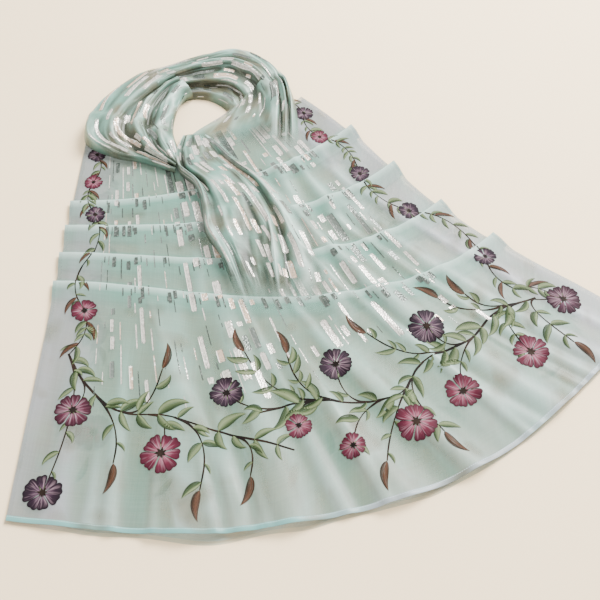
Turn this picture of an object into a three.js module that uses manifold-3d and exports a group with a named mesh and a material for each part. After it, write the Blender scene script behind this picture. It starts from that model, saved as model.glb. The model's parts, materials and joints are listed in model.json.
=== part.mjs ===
// Organza saree laid on a flat surface: its end piece is spread as a fan with four cross tucks, the length
// above it is gathered into an open loop, and the rest lies folded flat under the fan.
// Millimetres, +Z up. X runs from the left selvedge to the right, Y from the hem towards the loop.
// The origin is the middle of the laid saree, on the surface that it lies on.

import * as THREE from "three";
import Module from "manifold-3d";

const wasm = await Module();
wasm.setup();

// ---- driving sizes ----

const WALL = 1.5; // thickness of one layer of cloth
const SEAM = 0.5; // clearance between neighbouring layers and pieces
const REST_GAP = 1; // clearance under a gathered stretch that lies on the fan
const BODY_LAYER = 1.3; // thickness of one layer of the folded body
const BODY_BOND = 0.1; // how far each body layer reaches into the one below it
const BODY_EDGES = [4, 0.5, -3]; // how far each body layer reaches past the fan, lowest first
// The folded body has two stacks side by side, between these shares across the fan.
const BODY_STACKS = [
  { name: "folded_body_left", from: 0, to: 0.5 },
  { name: "folded_body_right", from: 0.5, to: 1 },
];

const HEM_BAND = 9; // width of the binding sewn along the hem
const SELVEDGE = 7; // width of the woven edge at each side

// The fan is a sector about its apex. It narrows a little at its waist, so its right side is a shallow curve.
const FAN = { apexX: -510, apexY: 917, angle: 45.7, waist: 2.0, waistRadius: 1110, waistReach: 420 };
const CENTRE = { x: 48, y: 3 }; // middle of the outline, in the coordinates of the tables below

// Radius of the hem and of the hidden upper edge of the fan, at angles from the left selvedge.
const HEM = [
  { angle: 0, radius: 1467 },
  { angle: 4, radius: 1482 },
  { angle: 8, radius: 1503 },
  { angle: 12, radius: 1525 },
  { angle: 16, radius: 1541 },
  { angle: 20, radius: 1556 },
  { angle: 24, radius: 1572 },
  { angle: 28, radius: 1581 },
  { angle: 32, radius: 1582 },
  { angle: 36, radius: 1575 },
  { angle: 40, radius: 1567 },
  { angle: 45.7, radius: 1561 },
];
const UPPER_EDGE = [
  { angle: 0, radius: 598 },
  { angle: 6, radius: 618 },
  { angle: 12, radius: 650 },
  { angle: 17, radius: 684 },
  { angle: 22, radius: 650 },
  { angle: 27, radius: 657 },
  { angle: 32, radius: 655 },
  { angle: 37, radius: 668 },
  { angle: 45.7, radius: 668 },
];

// Cross tucks, from the loop to the hem: radius of the fold at each selvedge. Each is folded under by
// TUCK_DEPTH.
const TUCK_DEPTH = 38;
const TUCKS = [
  { left: 790, right: 816 },
  { left: 855, right: 957 },
  { left: 925, right: 1100 },
  { left: 995, right: 1232 },
];
const TUCK_RISE = 85; // length over which a panel comes down from the tuck above it
// A panel's corners stick out past the fan's sides at the tuck, and draw in over length.
const TUCK_CORNER = { left: 6, right: 16, length: 62, share: 0.1 };
const TUCK_LEAD = { start: 72, length: 34 }; // a stretch climbs over length, from start short of the tucks
const FAN_LEAD = { start: 64, length: 26 }; // the same, short of the fan's upper edge

// Soft folds of the fan. Each pair gives the value where the fold starts and where it ends. Widths are half
// widths.
const FOLDS = [
  { angle: [4.0, 3.2], radius: [1150, 1475], width: [24, 32], height: [2, 5] },
  { angle: [12.0, 11.0], radius: [1060, 1515], width: [30, 54], height: [3, 14] },
  { angle: [17.0, 17.4], radius: [1080, 1545], width: [24, 40], height: [4, 16] },
  { angle: [21.8, 24.4], radius: [1270, 1572], width: [26, 42], height: [8, 15] },
  { angle: [25.4, 29.2], radius: [1260, 1582], width: [24, 34], height: [8, 14] },
  { angle: [30.0, 36.3], radius: [1010, 1574], width: [22, 38], height: [9, 12] },
  { angle: [34.0, 41.5], radius: [880, 1562], width: [20, 28], height: [6, 8] },
  { angle: [31.5, 27.5], radius: [800, 1180], width: [18, 22], height: [8, 5] },
];
const FOLD_START = 70; // half the length over which a fold rises out of the flat cloth
const FOLD_END = { clearance: 140, length: 90 }; // a fold that ends clearance short of the hem dies away

// Gathered stretches. A smooth curve passes through the points of each side, and heights are those of the
// crest along the way. skew above 1 moves the crest outwards. fullness below 1 gives steep sides and a broad
// crown. drift slants the folds along the stretch.
const LOOP_LEFT = {
  inner: [[-297, 240], [-303, 275], [-318, 318], [-326, 358], [-320, 400], [-303, 436]],
  outer: [[-302, 222], [-372, 252], [-448, 274], [-512, 302], [-502, 400], [-426, 496]],
  height: [17, 31, 42, 48, 50, 52],
  skew: 1.3,
  fullness: 0.55,
  folds: 5,
  foldDepth: 0.34,
  drift: 0.3,
};
const LOOP_BACK = {
  inner: [[-303, 436], [-276, 446], [-246, 440], [-218, 422], [-201, 398]],
  outer: [[-426, 496], [-346, 532], [-262, 570], [-182, 586], [-112, 554]],
  height: [52, 54, 56, 56, 54],
  skew: 1.35,
  fullness: 0.7,
  folds: 4,
  foldDepth: 0.26,
  drift: 0.4,
};
const LOOP_RIGHT = {
  inner: [[-201, 398], [-206, 372], [-216, 348], [-212, 315], [-186, 275], [-158, 235]],
  outer: [[-112, 554], [-64, 496], [-42, 424], [-38, 356], [-38, 292], [-34, 235]],
  height: [54, 50, 39, 24, 11, 2],
  skew: 1.15,
  fullness: 0.7,
  folds: 5,
  foldDepth: 0.32,
  drift: -0.3,
};
const CENTRE_DRAPE = {
  inner: [
    [-292, 320],
    [-293, 262],
    [-272, 208],
    [-241, 160],
    [-220, 98],
    [-198, 34],
    [-168, -26],
    [-144, -92],
    [-118, -158],
  ],
  outer: [
    [-243, 328],
    [-212, 284],
    [-172, 226],
    [-128, 168],
    [-92, 100],
    [-60, 36],
    [-26, -34],
    [-2, -100],
    [14, -160],
  ],
  height: [16, 25, 31, 33, 33, 31, 26, 17, 3],
  skew: 0.66,
  fullness: 0.55,
  folds: 3,
  foldDepth: 0.42,
  drift: 0.4,
};
const JOIN = 0.002; // share of a stretch's length that is left clear at each end

// How finely each piece is divided.
const FAN_COLUMNS = 48;
const PANEL_ROWS = [3, 2, 2, 2, 11]; // rows in each panel of the fan, from the loop to the hem
const STRETCH_COLUMNS = 20;
const LOOP_ROWS = 9;
const DRAPE_ROWS = 16;
const OUTLINE_STEP = 42; // spacing of the points along the outline of a folded stack

const FINISH = {
  pallu: { color: 0xc3d9d2, roughness: 0.55 },
  edge: { color: 0xa9cfcc, roughness: 0.5 },
  gathered: { color: 0xa5c9be, roughness: 0.5 },
  body: { color: 0xcfdedb, roughness: 0.6 },
};

// ---- small helpers ----

const clamp = (value, low = 0, high = 1) => Math.min(high, Math.max(low, value));
const mix = (a, b, share) => a + (b - a) * share;
const smooth = (share) => clamp(share) ** 2 * (3 - 2 * clamp(share));
const radians = (degrees) => (degrees * Math.PI) / 180;
const listOf = (count, at) => Array.from({ length: count }, (_, i) => at(i));

// Catmull-Rom value at share 0 to 1 along evenly spaced numbers.
function alongNumbers(numbers, share) {
  const place = clamp(share) * (numbers.length - 1);
  const start = Math.min(Math.floor(place), numbers.length - 2);
  const t = place - start;
  const at = (i) => numbers[clamp(i, 0, numbers.length - 1)];
  const [a, b, c, d] = [at(start - 1), at(start), at(start + 1), at(start + 2)];
  return b + 0.5 * t * (c - a + t * (2 * a - 5 * b + 4 * c - d + t * (3 * (b - c) + d - a)));
}

const alongPoints = (points, share) => [0, 1].map((axis) => alongNumbers(points.map((p) => p[axis]), share));

// Smooth radius at an angle, from a table of angles and radii.
function radiusAt(table, angle) {
  const last = table.length - 1;
  const found = table.findIndex((row) => row.angle >= angle);
  const i = found < 0 ? last : Math.max(1, found);
  const slope = (k) => {
    const [low, high] = [table[Math.max(0, k - 1)], table[Math.min(last, k + 1)]];
    return (high.radius - low.radius) / (high.angle - low.angle);
  };
  const span = table[i].angle - table[i - 1].angle;
  const t = clamp((angle - table[i - 1].angle) / span);
  const leaving = (t ** 3 - 2 * t ** 2 + t) * slope(i - 1);
  const arriving = (t ** 3 - t ** 2) * slope(i);
  return mix(table[i - 1].radius, table[i].radius, smooth(t)) + span * (leaving + arriving);
}

// ---- the fan ----

const BODY_TOP = BODY_LAYER * BODY_EDGES.length;
const FAN_REST = BODY_TOP + SEAM + WALL / 2; // height of the fan's middle surface where it lies flat
const LAYER = WALL + SEAM; // pitch of stacked layers
const OVER_FAN = FAN_REST + WALL / 2 + REST_GAP; // underside of what lies on the flat fan
const TUCK_STACK = 2 * LAYER; // how much higher the cloth lies on a tuck

function fanAngle(radius) {
  const off = clamp(Math.abs(radius - FAN.waistRadius) / FAN.waistReach);
  return FAN.angle - FAN.waist * Math.cos((off * Math.PI) / 2) ** 2;
}

const arcLength = (radius) => radians(fanAngle(radius)) * radius;
const hemRadius = (across) => radiusAt(HEM, across * FAN.angle);
const upperRadius = (across) => radiusAt(UPPER_EDGE, across * FAN.angle);
const tuckRadius = (tuck, across) => mix(tuck.left, tuck.right, smooth(across));

// How far a panel's corner sticks out past the fan's side, at a distance below its tuck, as a signed length.
function cornerReach(across, below) {
  const side = smooth(1 - across / TUCK_CORNER.share) * -TUCK_CORNER.left
    + smooth(1 - (1 - across) / TUCK_CORNER.share) * TUCK_CORNER.right;
  return side * (1 - smooth(below / TUCK_CORNER.length));
}

function fanPlace(across, radius) {
  const angle = radians(across * fanAngle(radius));
  return [FAN.apexX + radius * Math.sin(angle), FAN.apexY - radius * Math.cos(angle)];
}

// Share across the fan and radius of a point, the reverse of fanPlace.
function fanCoordinates([x, y]) {
  const [dx, dy] = [x - FAN.apexX, FAN.apexY - y];
  const radius = Math.hypot(dx, dy);
  return { across: Math.atan2(dx, dy) / radians(fanAngle(radius)), radius };
}

// Height of the soft folds over the flat cloth.
function foldHeight(across, radius) {
  return FOLDS.reduce((total, fold) => {
    const [start, end] = fold.radius;
    const share = (radius - start) / (end - start);
    const off = radians(across * fanAngle(radius) - mix(...fold.angle, share)) * radius;
    const width = mix(...fold.width, clamp(share));
    const rise = smooth((radius - start + FOLD_START) / (2 * FOLD_START));
    const endsShort = end < hemRadius(across) - FOLD_END.clearance;
    const fade = endsShort ? 1 - smooth((radius - end) / FOLD_END.length) : 1;
    const height = mix(...fold.height, clamp(share)) * rise * fade;
    return total + height * Math.exp(-((off / width) ** 2));
  }, 0);
}

// The fan's section at one place across, from the upper edge to the hem: points of its middle surface, each
// with the direction of its upper face and its reach sideways. A tuck is an S of three layers, the panel on
// the hem's side on top.
function fanSection(across) {
  const rows = [];
  let fold = -Infinity;
  const row = (radius, height, out, up, reach = cornerReach(across, radius - fold)) =>
    rows.push({ radius, height, out, up, reach });
  let start = upperRadius(across);
  let startHeight = 0;
  const panel = (end, count) => {
    for (let i = 0; i < count; i++) {
      const radius = mix(start, end, i / count);
      const fall = smooth((radius - start) / Math.min(TUCK_RISE, end - start));
      row(radius, mix(startHeight, 0, fall), 0, 1);
    }
    row(end, 0, 0, 1);
  };
  TUCKS.forEach((tuck, i) => {
    panel(tuckRadius(tuck, across), PANEL_ROWS[i]);
    fold = tuckRadius(tuck, across);
    const under = fold + TUCK_DEPTH;
    row(under, 0, 0, 1);
    row(under + LAYER / 2, LAYER / 2, -1, 0, cornerReach(across, TUCK_DEPTH));
    row(under, LAYER, 0, -1);
    row(fold, LAYER, 0, -1);
    row(fold - LAYER / 2, 1.5 * LAYER, -1, 0, cornerReach(across, 0));
    row(fold, TUCK_STACK, 0, 1);
    start = under + LAYER;
    startHeight = TUCK_STACK;
  });
  panel(hemRadius(across) - HEM_BAND - SEAM, PANEL_ROWS.at(-1));
  return rows;
}

function bandSection(across) {
  const hem = hemRadius(across);
  const flat = { height: 0, out: 0, up: 1, reach: 0 };
  return [HEM_BAND, HEM_BAND / 2, 0].map((back) => ({ ...flat, radius: hem - back }));
}

// A point of one face of the fan: side is 1 for the upper face and -1 for the lower.
function fanPoint(across, row, side) {
  const radius = row.radius + (side * row.out * WALL) / 2;
  const height = FAN_REST + row.height + foldHeight(across, row.radius) + (side * row.up * WALL) / 2;
  return [...fanPlace(across + row.reach / arcLength(radius), radius), height];
}

// A piece of the fan between columns. Each column gives its share across from the length of cloth at a row.
function fanGeometry(section, columns) {
  const face = (side) =>
    columns.map((column) =>
      section(column(arcLength(FAN.waistRadius))).map((row, i) => {
        const across = column(arcLength(row.radius));
        return fanPoint(across, section(across)[i], side);
      }),
    );
  return wallGeometry(face(1), face(-1));
}

const leftColumn = (inset) => (length) => inset / length;
const rightColumn = (inset) => (length) => 1 - inset / length;
const mainColumns = listOf(FAN_COLUMNS + 1, (i) => (length) => {
  const inset = (SELVEDGE + SEAM) / length;
  return mix(inset, 1 - inset, i / FAN_COLUMNS);
});
const leftColumns = [leftColumn(0), leftColumn(SELVEDGE)];
const rightColumns = [rightColumn(SELVEDGE), rightColumn(0)];

// ---- gathered stretches ----

// Height of what a point of a stretch rests on: the surface below, or the fan with its folds and tucks.
function restHeight(point) {
  const { across, radius } = fanCoordinates(point);
  const side = clamp(across);
  const onFan = smooth((radius - upperRadius(side) + FAN_LEAD.start) / FAN_LEAD.length);
  const onTucks = smooth((radius - tuckRadius(TUCKS[0], side) + TUCK_LEAD.start) / TUCK_LEAD.length);
  return mix(0, OVER_FAN + foldHeight(side, radius), onFan) + TUCK_STACK * onTucks;
}

// Height of a stretch over what it rests on: a dome across it, with folds that run along it.
function stretchHeight(stretch, along, across) {
  const crest = alongNumbers(stretch.height, along);
  const dome = Math.max(0, Math.sin(Math.PI * clamp(across) ** stretch.skew)) ** stretch.fullness;
  const fold = Math.abs(Math.sin(Math.PI * (stretch.folds * across + stretch.drift * (1 - 2 * along) + 0.5)));
  return WALL + crest * dome * (1 - stretch.foldDepth * (1 - fold));
}

function stretchGeometry(stretch, rows) {
  const face = (isTop) =>
    listOf(STRETCH_COLUMNS + 1, (i) =>
      listOf(rows + 1, (j) => {
        const across = 0.5 - 0.5 * Math.cos((Math.PI * i) / STRETCH_COLUMNS);
        const along = mix(JOIN, 1 - JOIN, j / rows);
        const [inner, outer] = [alongPoints(stretch.inner, along), alongPoints(stretch.outer, along)];
        const point = [mix(inner[0], outer[0], across), mix(inner[1], outer[1], across)];
        const rest = restHeight(point);
        return [...point, isTop ? rest + stretchHeight(stretch, along, across) : rest];
      }),
    );
  return wallGeometry(face(true), face(false));
}

// ---- closed meshes ----

// Closes two grids of points, an upper and a lower face, into one wall.
function wallGeometry(top, bottom) {
  const [columns, rows] = [top.length - 1, top[0].length - 1];
  const index = (side, i, j) => (side * (columns + 1) + i) * (rows + 1) + j;
  const faces = [];
  const quad = (a, b, c, d) => faces.push(a, b, c, a, c, d);
  for (let i = 0; i < columns; i++) {
    for (let j = 0; j < rows; j++) {
      quad(index(0, i, j), index(0, i, j + 1), index(0, i + 1, j + 1), index(0, i + 1, j));
      quad(index(1, i, j), index(1, i + 1, j), index(1, i + 1, j + 1), index(1, i, j + 1));
    }
    quad(index(0, i, 0), index(0, i + 1, 0), index(1, i + 1, 0), index(1, i, 0));
    quad(index(0, i + 1, rows), index(0, i, rows), index(1, i, rows), index(1, i + 1, rows));
  }
  for (let j = 0; j < rows; j++) {
    quad(index(0, 0, j + 1), index(0, 0, j), index(1, 0, j), index(1, 0, j + 1));
    quad(index(0, columns, j), index(0, columns, j + 1), index(1, columns, j + 1), index(1, columns, j));
  }
  const geometry = new THREE.BufferGeometry();
  geometry.setAttribute("position", new THREE.Float32BufferAttribute([...top, ...bottom].flat(2), 3));
  geometry.setIndex(faces);
  if (signedVolume(geometry) < 0) geometry.setIndex(faces.toReversed());
  return geometry;
}

function signedVolume(geometry) {
  const position = geometry.getAttribute("position");
  const corners = [new THREE.Vector3(), new THREE.Vector3(), new THREE.Vector3()];
  let volume = 0;
  for (let i = 0; i < geometry.index.count; i += 3) {
    corners.forEach((corner, k) => corner.fromBufferAttribute(position, geometry.index.getX(i + k)));
    volume += corners[0].dot(corners[1].clone().cross(corners[2])) / 6;
  }
  return volume;
}

// One geometry from overlapping closed ones.
function joined(geometries) {
  const solids = geometries.map((geometry) => {
    const position = geometry.getAttribute("position");
    const mesh = new wasm.Mesh({
      numProp: 3,
      vertProperties: new Float32Array(position.array),
      triVerts: Uint32Array.from({ length: position.count }, (_, i) => i),
    });
    mesh.merge();
    return new wasm.Manifold(mesh);
  });
  const mesh = solids.reduce((whole, solid) => whole.add(solid)).getMesh();
  const geometry = new THREE.BufferGeometry();
  geometry.setAttribute("position", new THREE.BufferAttribute(mesh.vertProperties, 3));
  geometry.setIndex(new THREE.BufferAttribute(mesh.triVerts, 1));
  return geometry;
}

// ---- the folded body ----

function evenSpan(length, at) {
  const count = Math.round(length / OUTLINE_STEP);
  return listOf(count, (i) => at(i / count));
}

// Outline of one stack's layer, anticlockwise: hem, right side, upper edge, left side. It reaches past the
// fan's own edges, and stays clear of the stack beside it.
function layerOutline({ from, to }, reach) {
  const [left, right] = [from > 0 ? -SEAM / 2 : reach, to < 1 ? -SEAM / 2 : reach];
  const place = (share, radius) => {
    const length = arcLength(radius);
    return fanPlace(mix(from - left / length, to + right / length, share), radius);
  };
  const hem = (share) => hemRadius(mix(from, to, share)) + reach;
  const upper = (share) => upperRadius(mix(from, to, share)) - reach;
  const width = (radius) => arcLength(radius) * (to - from);
  const points = [
    ...evenSpan(width(hem(0.5)), (share) => place(share, hem(share))),
    ...evenSpan(hem(1) - upper(1), (share) => place(1, mix(hem(1), upper(1), share))),
    ...evenSpan(width(upper(0.5)), (share) => place(1 - share, upper(1 - share))),
    ...evenSpan(hem(0) - upper(0), (share) => place(0, mix(upper(0), hem(0), share))),
  ];
  return points.map((point) => new THREE.Vector2(...point));
}

function stackGeometry(stack) {
  const layers = BODY_EDGES.map((reach, i) => {
    const depth = BODY_LAYER + (i ? BODY_BOND : 0);
    const shape = new THREE.Shape(layerOutline(stack, reach));
    const layer = new THREE.ExtrudeGeometry(shape, { depth, bevelEnabled: false });
    return layer.translate(0, 0, BODY_LAYER * (i + 1) - depth);
  });
  return joined(layers);
}

// ---- the saree ----

const saree = new THREE.Group();
saree.position.set(-CENTRE.x, -CENTRE.y, 0);

function addPiece(name, geometry, { color, roughness }) {
  const mesh = new THREE.Mesh(geometry, new THREE.MeshStandardMaterial({ color, roughness, metalness: 0 }));
  mesh.name = name;
  saree.add(mesh);
}

BODY_STACKS.forEach((stack) => addPiece(stack.name, stackGeometry(stack), FINISH.body));
addPiece("pallu", fanGeometry(fanSection, mainColumns), FINISH.pallu);
const bandColumns = [leftColumns[0], ...mainColumns, rightColumns[1]];
addPiece("hem_binding", fanGeometry(bandSection, bandColumns), FINISH.edge);
addPiece("selvedge_left", fanGeometry(fanSection, leftColumns), FINISH.edge);
addPiece("selvedge_right", fanGeometry(fanSection, rightColumns), FINISH.edge);
addPiece("loop_left", stretchGeometry(LOOP_LEFT, LOOP_ROWS), FINISH.gathered);
addPiece("loop_back", stretchGeometry(LOOP_BACK, LOOP_ROWS), FINISH.gathered);
addPiece("loop_right", stretchGeometry(LOOP_RIGHT, LOOP_ROWS), FINISH.gathered);
addPiece("centre_drape", stretchGeometry(CENTRE_DRAPE, DRAPE_ROWS), FINISH.gathered);

export default saree;
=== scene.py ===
"""Looks of an organza saree laid flat, built round its packed model.

Blender's own units are metres. The tables and the shape functions are in millimetres, in the coordinates of
the saree's pattern, and make_piece moves them to the middle of the laid saree.
"""

import functools
import math
import json

import bpy
import numpy as np
from bpy.props import FloatProperty, FloatVectorProperty, IntProperty, PointerProperty
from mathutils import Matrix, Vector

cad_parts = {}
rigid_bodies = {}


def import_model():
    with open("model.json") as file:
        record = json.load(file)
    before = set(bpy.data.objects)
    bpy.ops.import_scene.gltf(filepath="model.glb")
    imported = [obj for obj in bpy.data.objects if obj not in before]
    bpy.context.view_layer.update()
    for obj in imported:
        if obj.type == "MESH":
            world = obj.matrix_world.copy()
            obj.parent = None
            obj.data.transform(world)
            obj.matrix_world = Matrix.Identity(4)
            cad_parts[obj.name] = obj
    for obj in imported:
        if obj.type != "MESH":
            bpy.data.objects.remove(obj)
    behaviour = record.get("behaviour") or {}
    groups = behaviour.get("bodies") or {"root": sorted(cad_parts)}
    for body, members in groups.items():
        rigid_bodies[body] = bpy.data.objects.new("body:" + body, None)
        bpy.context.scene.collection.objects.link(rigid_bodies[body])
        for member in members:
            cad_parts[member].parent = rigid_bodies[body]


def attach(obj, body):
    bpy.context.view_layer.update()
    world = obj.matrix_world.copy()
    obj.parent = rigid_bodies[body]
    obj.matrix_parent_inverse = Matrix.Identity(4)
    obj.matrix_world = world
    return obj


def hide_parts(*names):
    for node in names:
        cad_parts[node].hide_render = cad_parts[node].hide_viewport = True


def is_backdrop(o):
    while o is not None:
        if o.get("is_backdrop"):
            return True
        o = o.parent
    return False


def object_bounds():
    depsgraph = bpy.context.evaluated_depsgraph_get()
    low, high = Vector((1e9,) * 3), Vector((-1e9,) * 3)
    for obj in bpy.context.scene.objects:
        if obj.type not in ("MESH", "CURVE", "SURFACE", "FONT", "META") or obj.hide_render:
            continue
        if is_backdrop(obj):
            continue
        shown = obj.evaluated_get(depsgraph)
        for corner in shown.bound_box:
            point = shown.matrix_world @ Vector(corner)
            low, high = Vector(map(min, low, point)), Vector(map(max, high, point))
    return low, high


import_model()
CAD_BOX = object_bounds()

bl_info = {
    "name": "Organza saree",
    "version": (1, 0, 0),
    "blender": (4, 5, 0),
    "location": "View3D > Sidebar > Saree",
    "description": "Sheer woven cloth, foil bars and a painted vine for a saree laid flat",
    "category": "Object",
}

MM = 0.001
BODY = "root"

# ---- sizes of the laid saree, in millimetres and degrees ----

CENTRE = (48, 3)
WALL = 1.5  # room that one layer of cloth takes
SEAM = 0.5
LAYER = WALL + SEAM
REST_GAP = 1
BODY_TOP = 3.9
FAN_REST = BODY_TOP + SEAM + WALL / 2
OVER_FAN = FAN_REST + WALL / 2 + REST_GAP
TUCK_DEPTH = 38
TUCK_STACK = 2 * LAYER
TUCK_RISE = 85
TUCK_CORNER = {"left": 6, "right": 16, "length": 62, "share": 0.1}
TUCK_LEAD = {"start": 72, "length": 34}
FAN_LEAD = {"start": 64, "length": 26}

FAN = {"apex": (-510, 917), "angle": 45.7, "waist": 2.0, "waist_radius": 1110, "waist_reach": 420}
HEM = {
    "angle": (0, 4, 8, 12, 16, 20, 24, 28, 32, 36, 40, 45.7),
    "radius": (1467, 1482, 1503, 1525, 1541, 1556, 1572, 1581, 1582, 1575, 1567, 1561),
}
UPPER_EDGE = {
    "angle": (0, 6, 12, 17, 22, 27, 32, 37, 45.7),
    "radius": (598, 618, 650, 684, 650, 657, 655, 668, 668),
}
TUCKS = (
    {"left": 790, "right": 816},
    {"left": 855, "right": 957},
    {"left": 925, "right": 1100},
    {"left": 995, "right": 1232},
)

# Soft folds of the fan: values where each starts and where it ends. Widths are half widths.
FOLDS = (
    {"angle": (4.0, 3.2), "radius": (1150, 1475), "width": (24, 32), "height": (2, 5)},
    {"angle": (12.0, 11.0), "radius": (1060, 1515), "width": (30, 54), "height": (3, 14)},
    {"angle": (17.0, 17.4), "radius": (1080, 1545), "width": (24, 40), "height": (4, 16)},
    {"angle": (21.8, 24.4), "radius": (1270, 1572), "width": (26, 42), "height": (8, 15)},
    {"angle": (25.4, 29.2), "radius": (1260, 1582), "width": (24, 34), "height": (8, 14)},
    {"angle": (30.0, 36.3), "radius": (1010, 1574), "width": (22, 38), "height": (9, 12)},
    {"angle": (34.0, 41.5), "radius": (880, 1562), "width": (20, 28), "height": (6, 8)},
    {"angle": (31.5, 27.5), "radius": (800, 1180), "width": (18, 22), "height": (8, 5)},
)
# Lesser creases between them, too fine for the solids.
CREASES = (
    {"angle": (7.5, 6.6), "radius": (1180, 1470), "width": (9, 15), "height": (1.5, 5.5)},
    {"angle": (9.6, 13.8), "radius": (1010, 1400), "width": (8, 15), "height": (1.2, 2.6)},
    {"angle": (14.6, 14.4), "radius": (1230, 1540), "width": (10, 17), "height": (1.5, 6.0)},
    {"angle": (19.2, 20.6), "radius": (1120, 1500), "width": (9, 15), "height": (2.0, 5.5)},
    {"angle": (23.0, 26.4), "radius": (1080, 1420), "width": (8, 14), "height": (2.6, 3.0)},
    {"angle": (26.4, 33.0), "radius": (960, 1470), "width": (9, 15), "height": (3.6, 5.0)},
    {"angle": (28.4, 31.8), "radius": (820, 1250), "width": (8, 13), "height": (4.4, 4.0)},
    {"angle": (33.0, 39.4), "radius": (980, 1530), "width": (9, 15), "height": (3.4, 5.4)},
    {"angle": (37.5, 44.0), "radius": (860, 1540), "width": (8, 14), "height": (1.6, 3.0)},
    {"angle": (17.5, 15.4), "radius": (820, 1060), "width": (8, 12), "height": (2.0, 1.4)},
    {"angle": (35.0, 33.5), "radius": (760, 1010), "width": (8, 13), "height": (4.0, 3.0)},
    {"angle": (40.0, 37.0), "radius": (740, 1000), "width": (9, 14), "height": (2.2, 1.4)},
    {"angle": (5.6, 5.2), "radius": (1330, 1480), "width": (7, 12), "height": (1.0, 3.5)},
    {"angle": (10.0, 9.2), "radius": (1300, 1500), "width": (7, 12), "height": (1.2, 4.4)},
    {"angle": (12.6, 12.9), "radius": (1360, 1515), "width": (6, 10), "height": (1.0, 3.5)},
    {"angle": (16.0, 15.9), "radius": (1340, 1530), "width": (7, 11), "height": (1.2, 4.4)},
    {"angle": (22.6, 23.2), "radius": (1300, 1560), "width": (7, 12), "height": (1.5, 4.6)},
    {"angle": (31.0, 33.4), "radius": (1280, 1570), "width": (7, 12), "height": (1.5, 4.6)},
    {"angle": (35.4, 38.6), "radius": (1300, 1560), "width": (7, 11), "height": (1.2, 4.0)},
)
# Soft clouds of painted shade, a warm grey, where the fan stands off the layers beneath it.
SHADE_HAZES = (
    {"angle": 33.0, "radius": 1150, "width": 24, "length": 110, "amount": 1.0},
    {"angle": 28.8, "radius": 1020, "width": 24, "length": 90, "amount": 1.0},
    {"angle": 40.1, "radius": 1304, "width": 20, "length": 60, "amount": 0.7},
    {"angle": 17.4, "radius": 1484, "width": 44, "length": 110, "amount": 1.0},
    {"angle": 7.0, "radius": 1436, "width": 12, "length": 60, "amount": 0.5},
    {"angle": 12.3, "radius": 1423, "width": 13, "length": 80, "amount": 0.5},
    {"angle": 25.7, "radius": 1375, "width": 24, "length": 80, "amount": 0.8},
    {"angle": 20.8, "radius": 1440, "width": 14, "length": 70, "amount": 0.5},
    {"angle": 32.1, "radius": 1557, "width": 40, "length": 30, "amount": 0.7},
    {"angle": 37.6, "radius": 1543, "width": 26, "length": 40, "amount": 0.6},
    {"angle": 13.4, "radius": 1512, "width": 56, "length": 16, "amount": 0.6},
    {"angle": 16.1, "radius": 774, "width": 18, "length": 34, "amount": 1.0},
    {"angle": 10.6, "radius": 762, "width": 22, "length": 22, "amount": 0.5},
    {"angle": 36.4, "radius": 1064, "width": 14, "length": 50, "amount": 0.6},
    {"angle": 15.4, "radius": 1490, "width": 90, "length": 60, "amount": 0.75},
    {"angle": 23.4, "radius": 1530, "width": 60, "length": 44, "amount": 0.8},
    {"angle": 34.6, "radius": 1225, "width": 44, "length": 90, "amount": 0.8},
    {"angle": 29.6, "radius": 1450, "width": 34, "length": 70, "amount": 0.6},
)
FOLD_START = 70
FOLD_END = {"clearance": 140, "length": 90}

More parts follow.
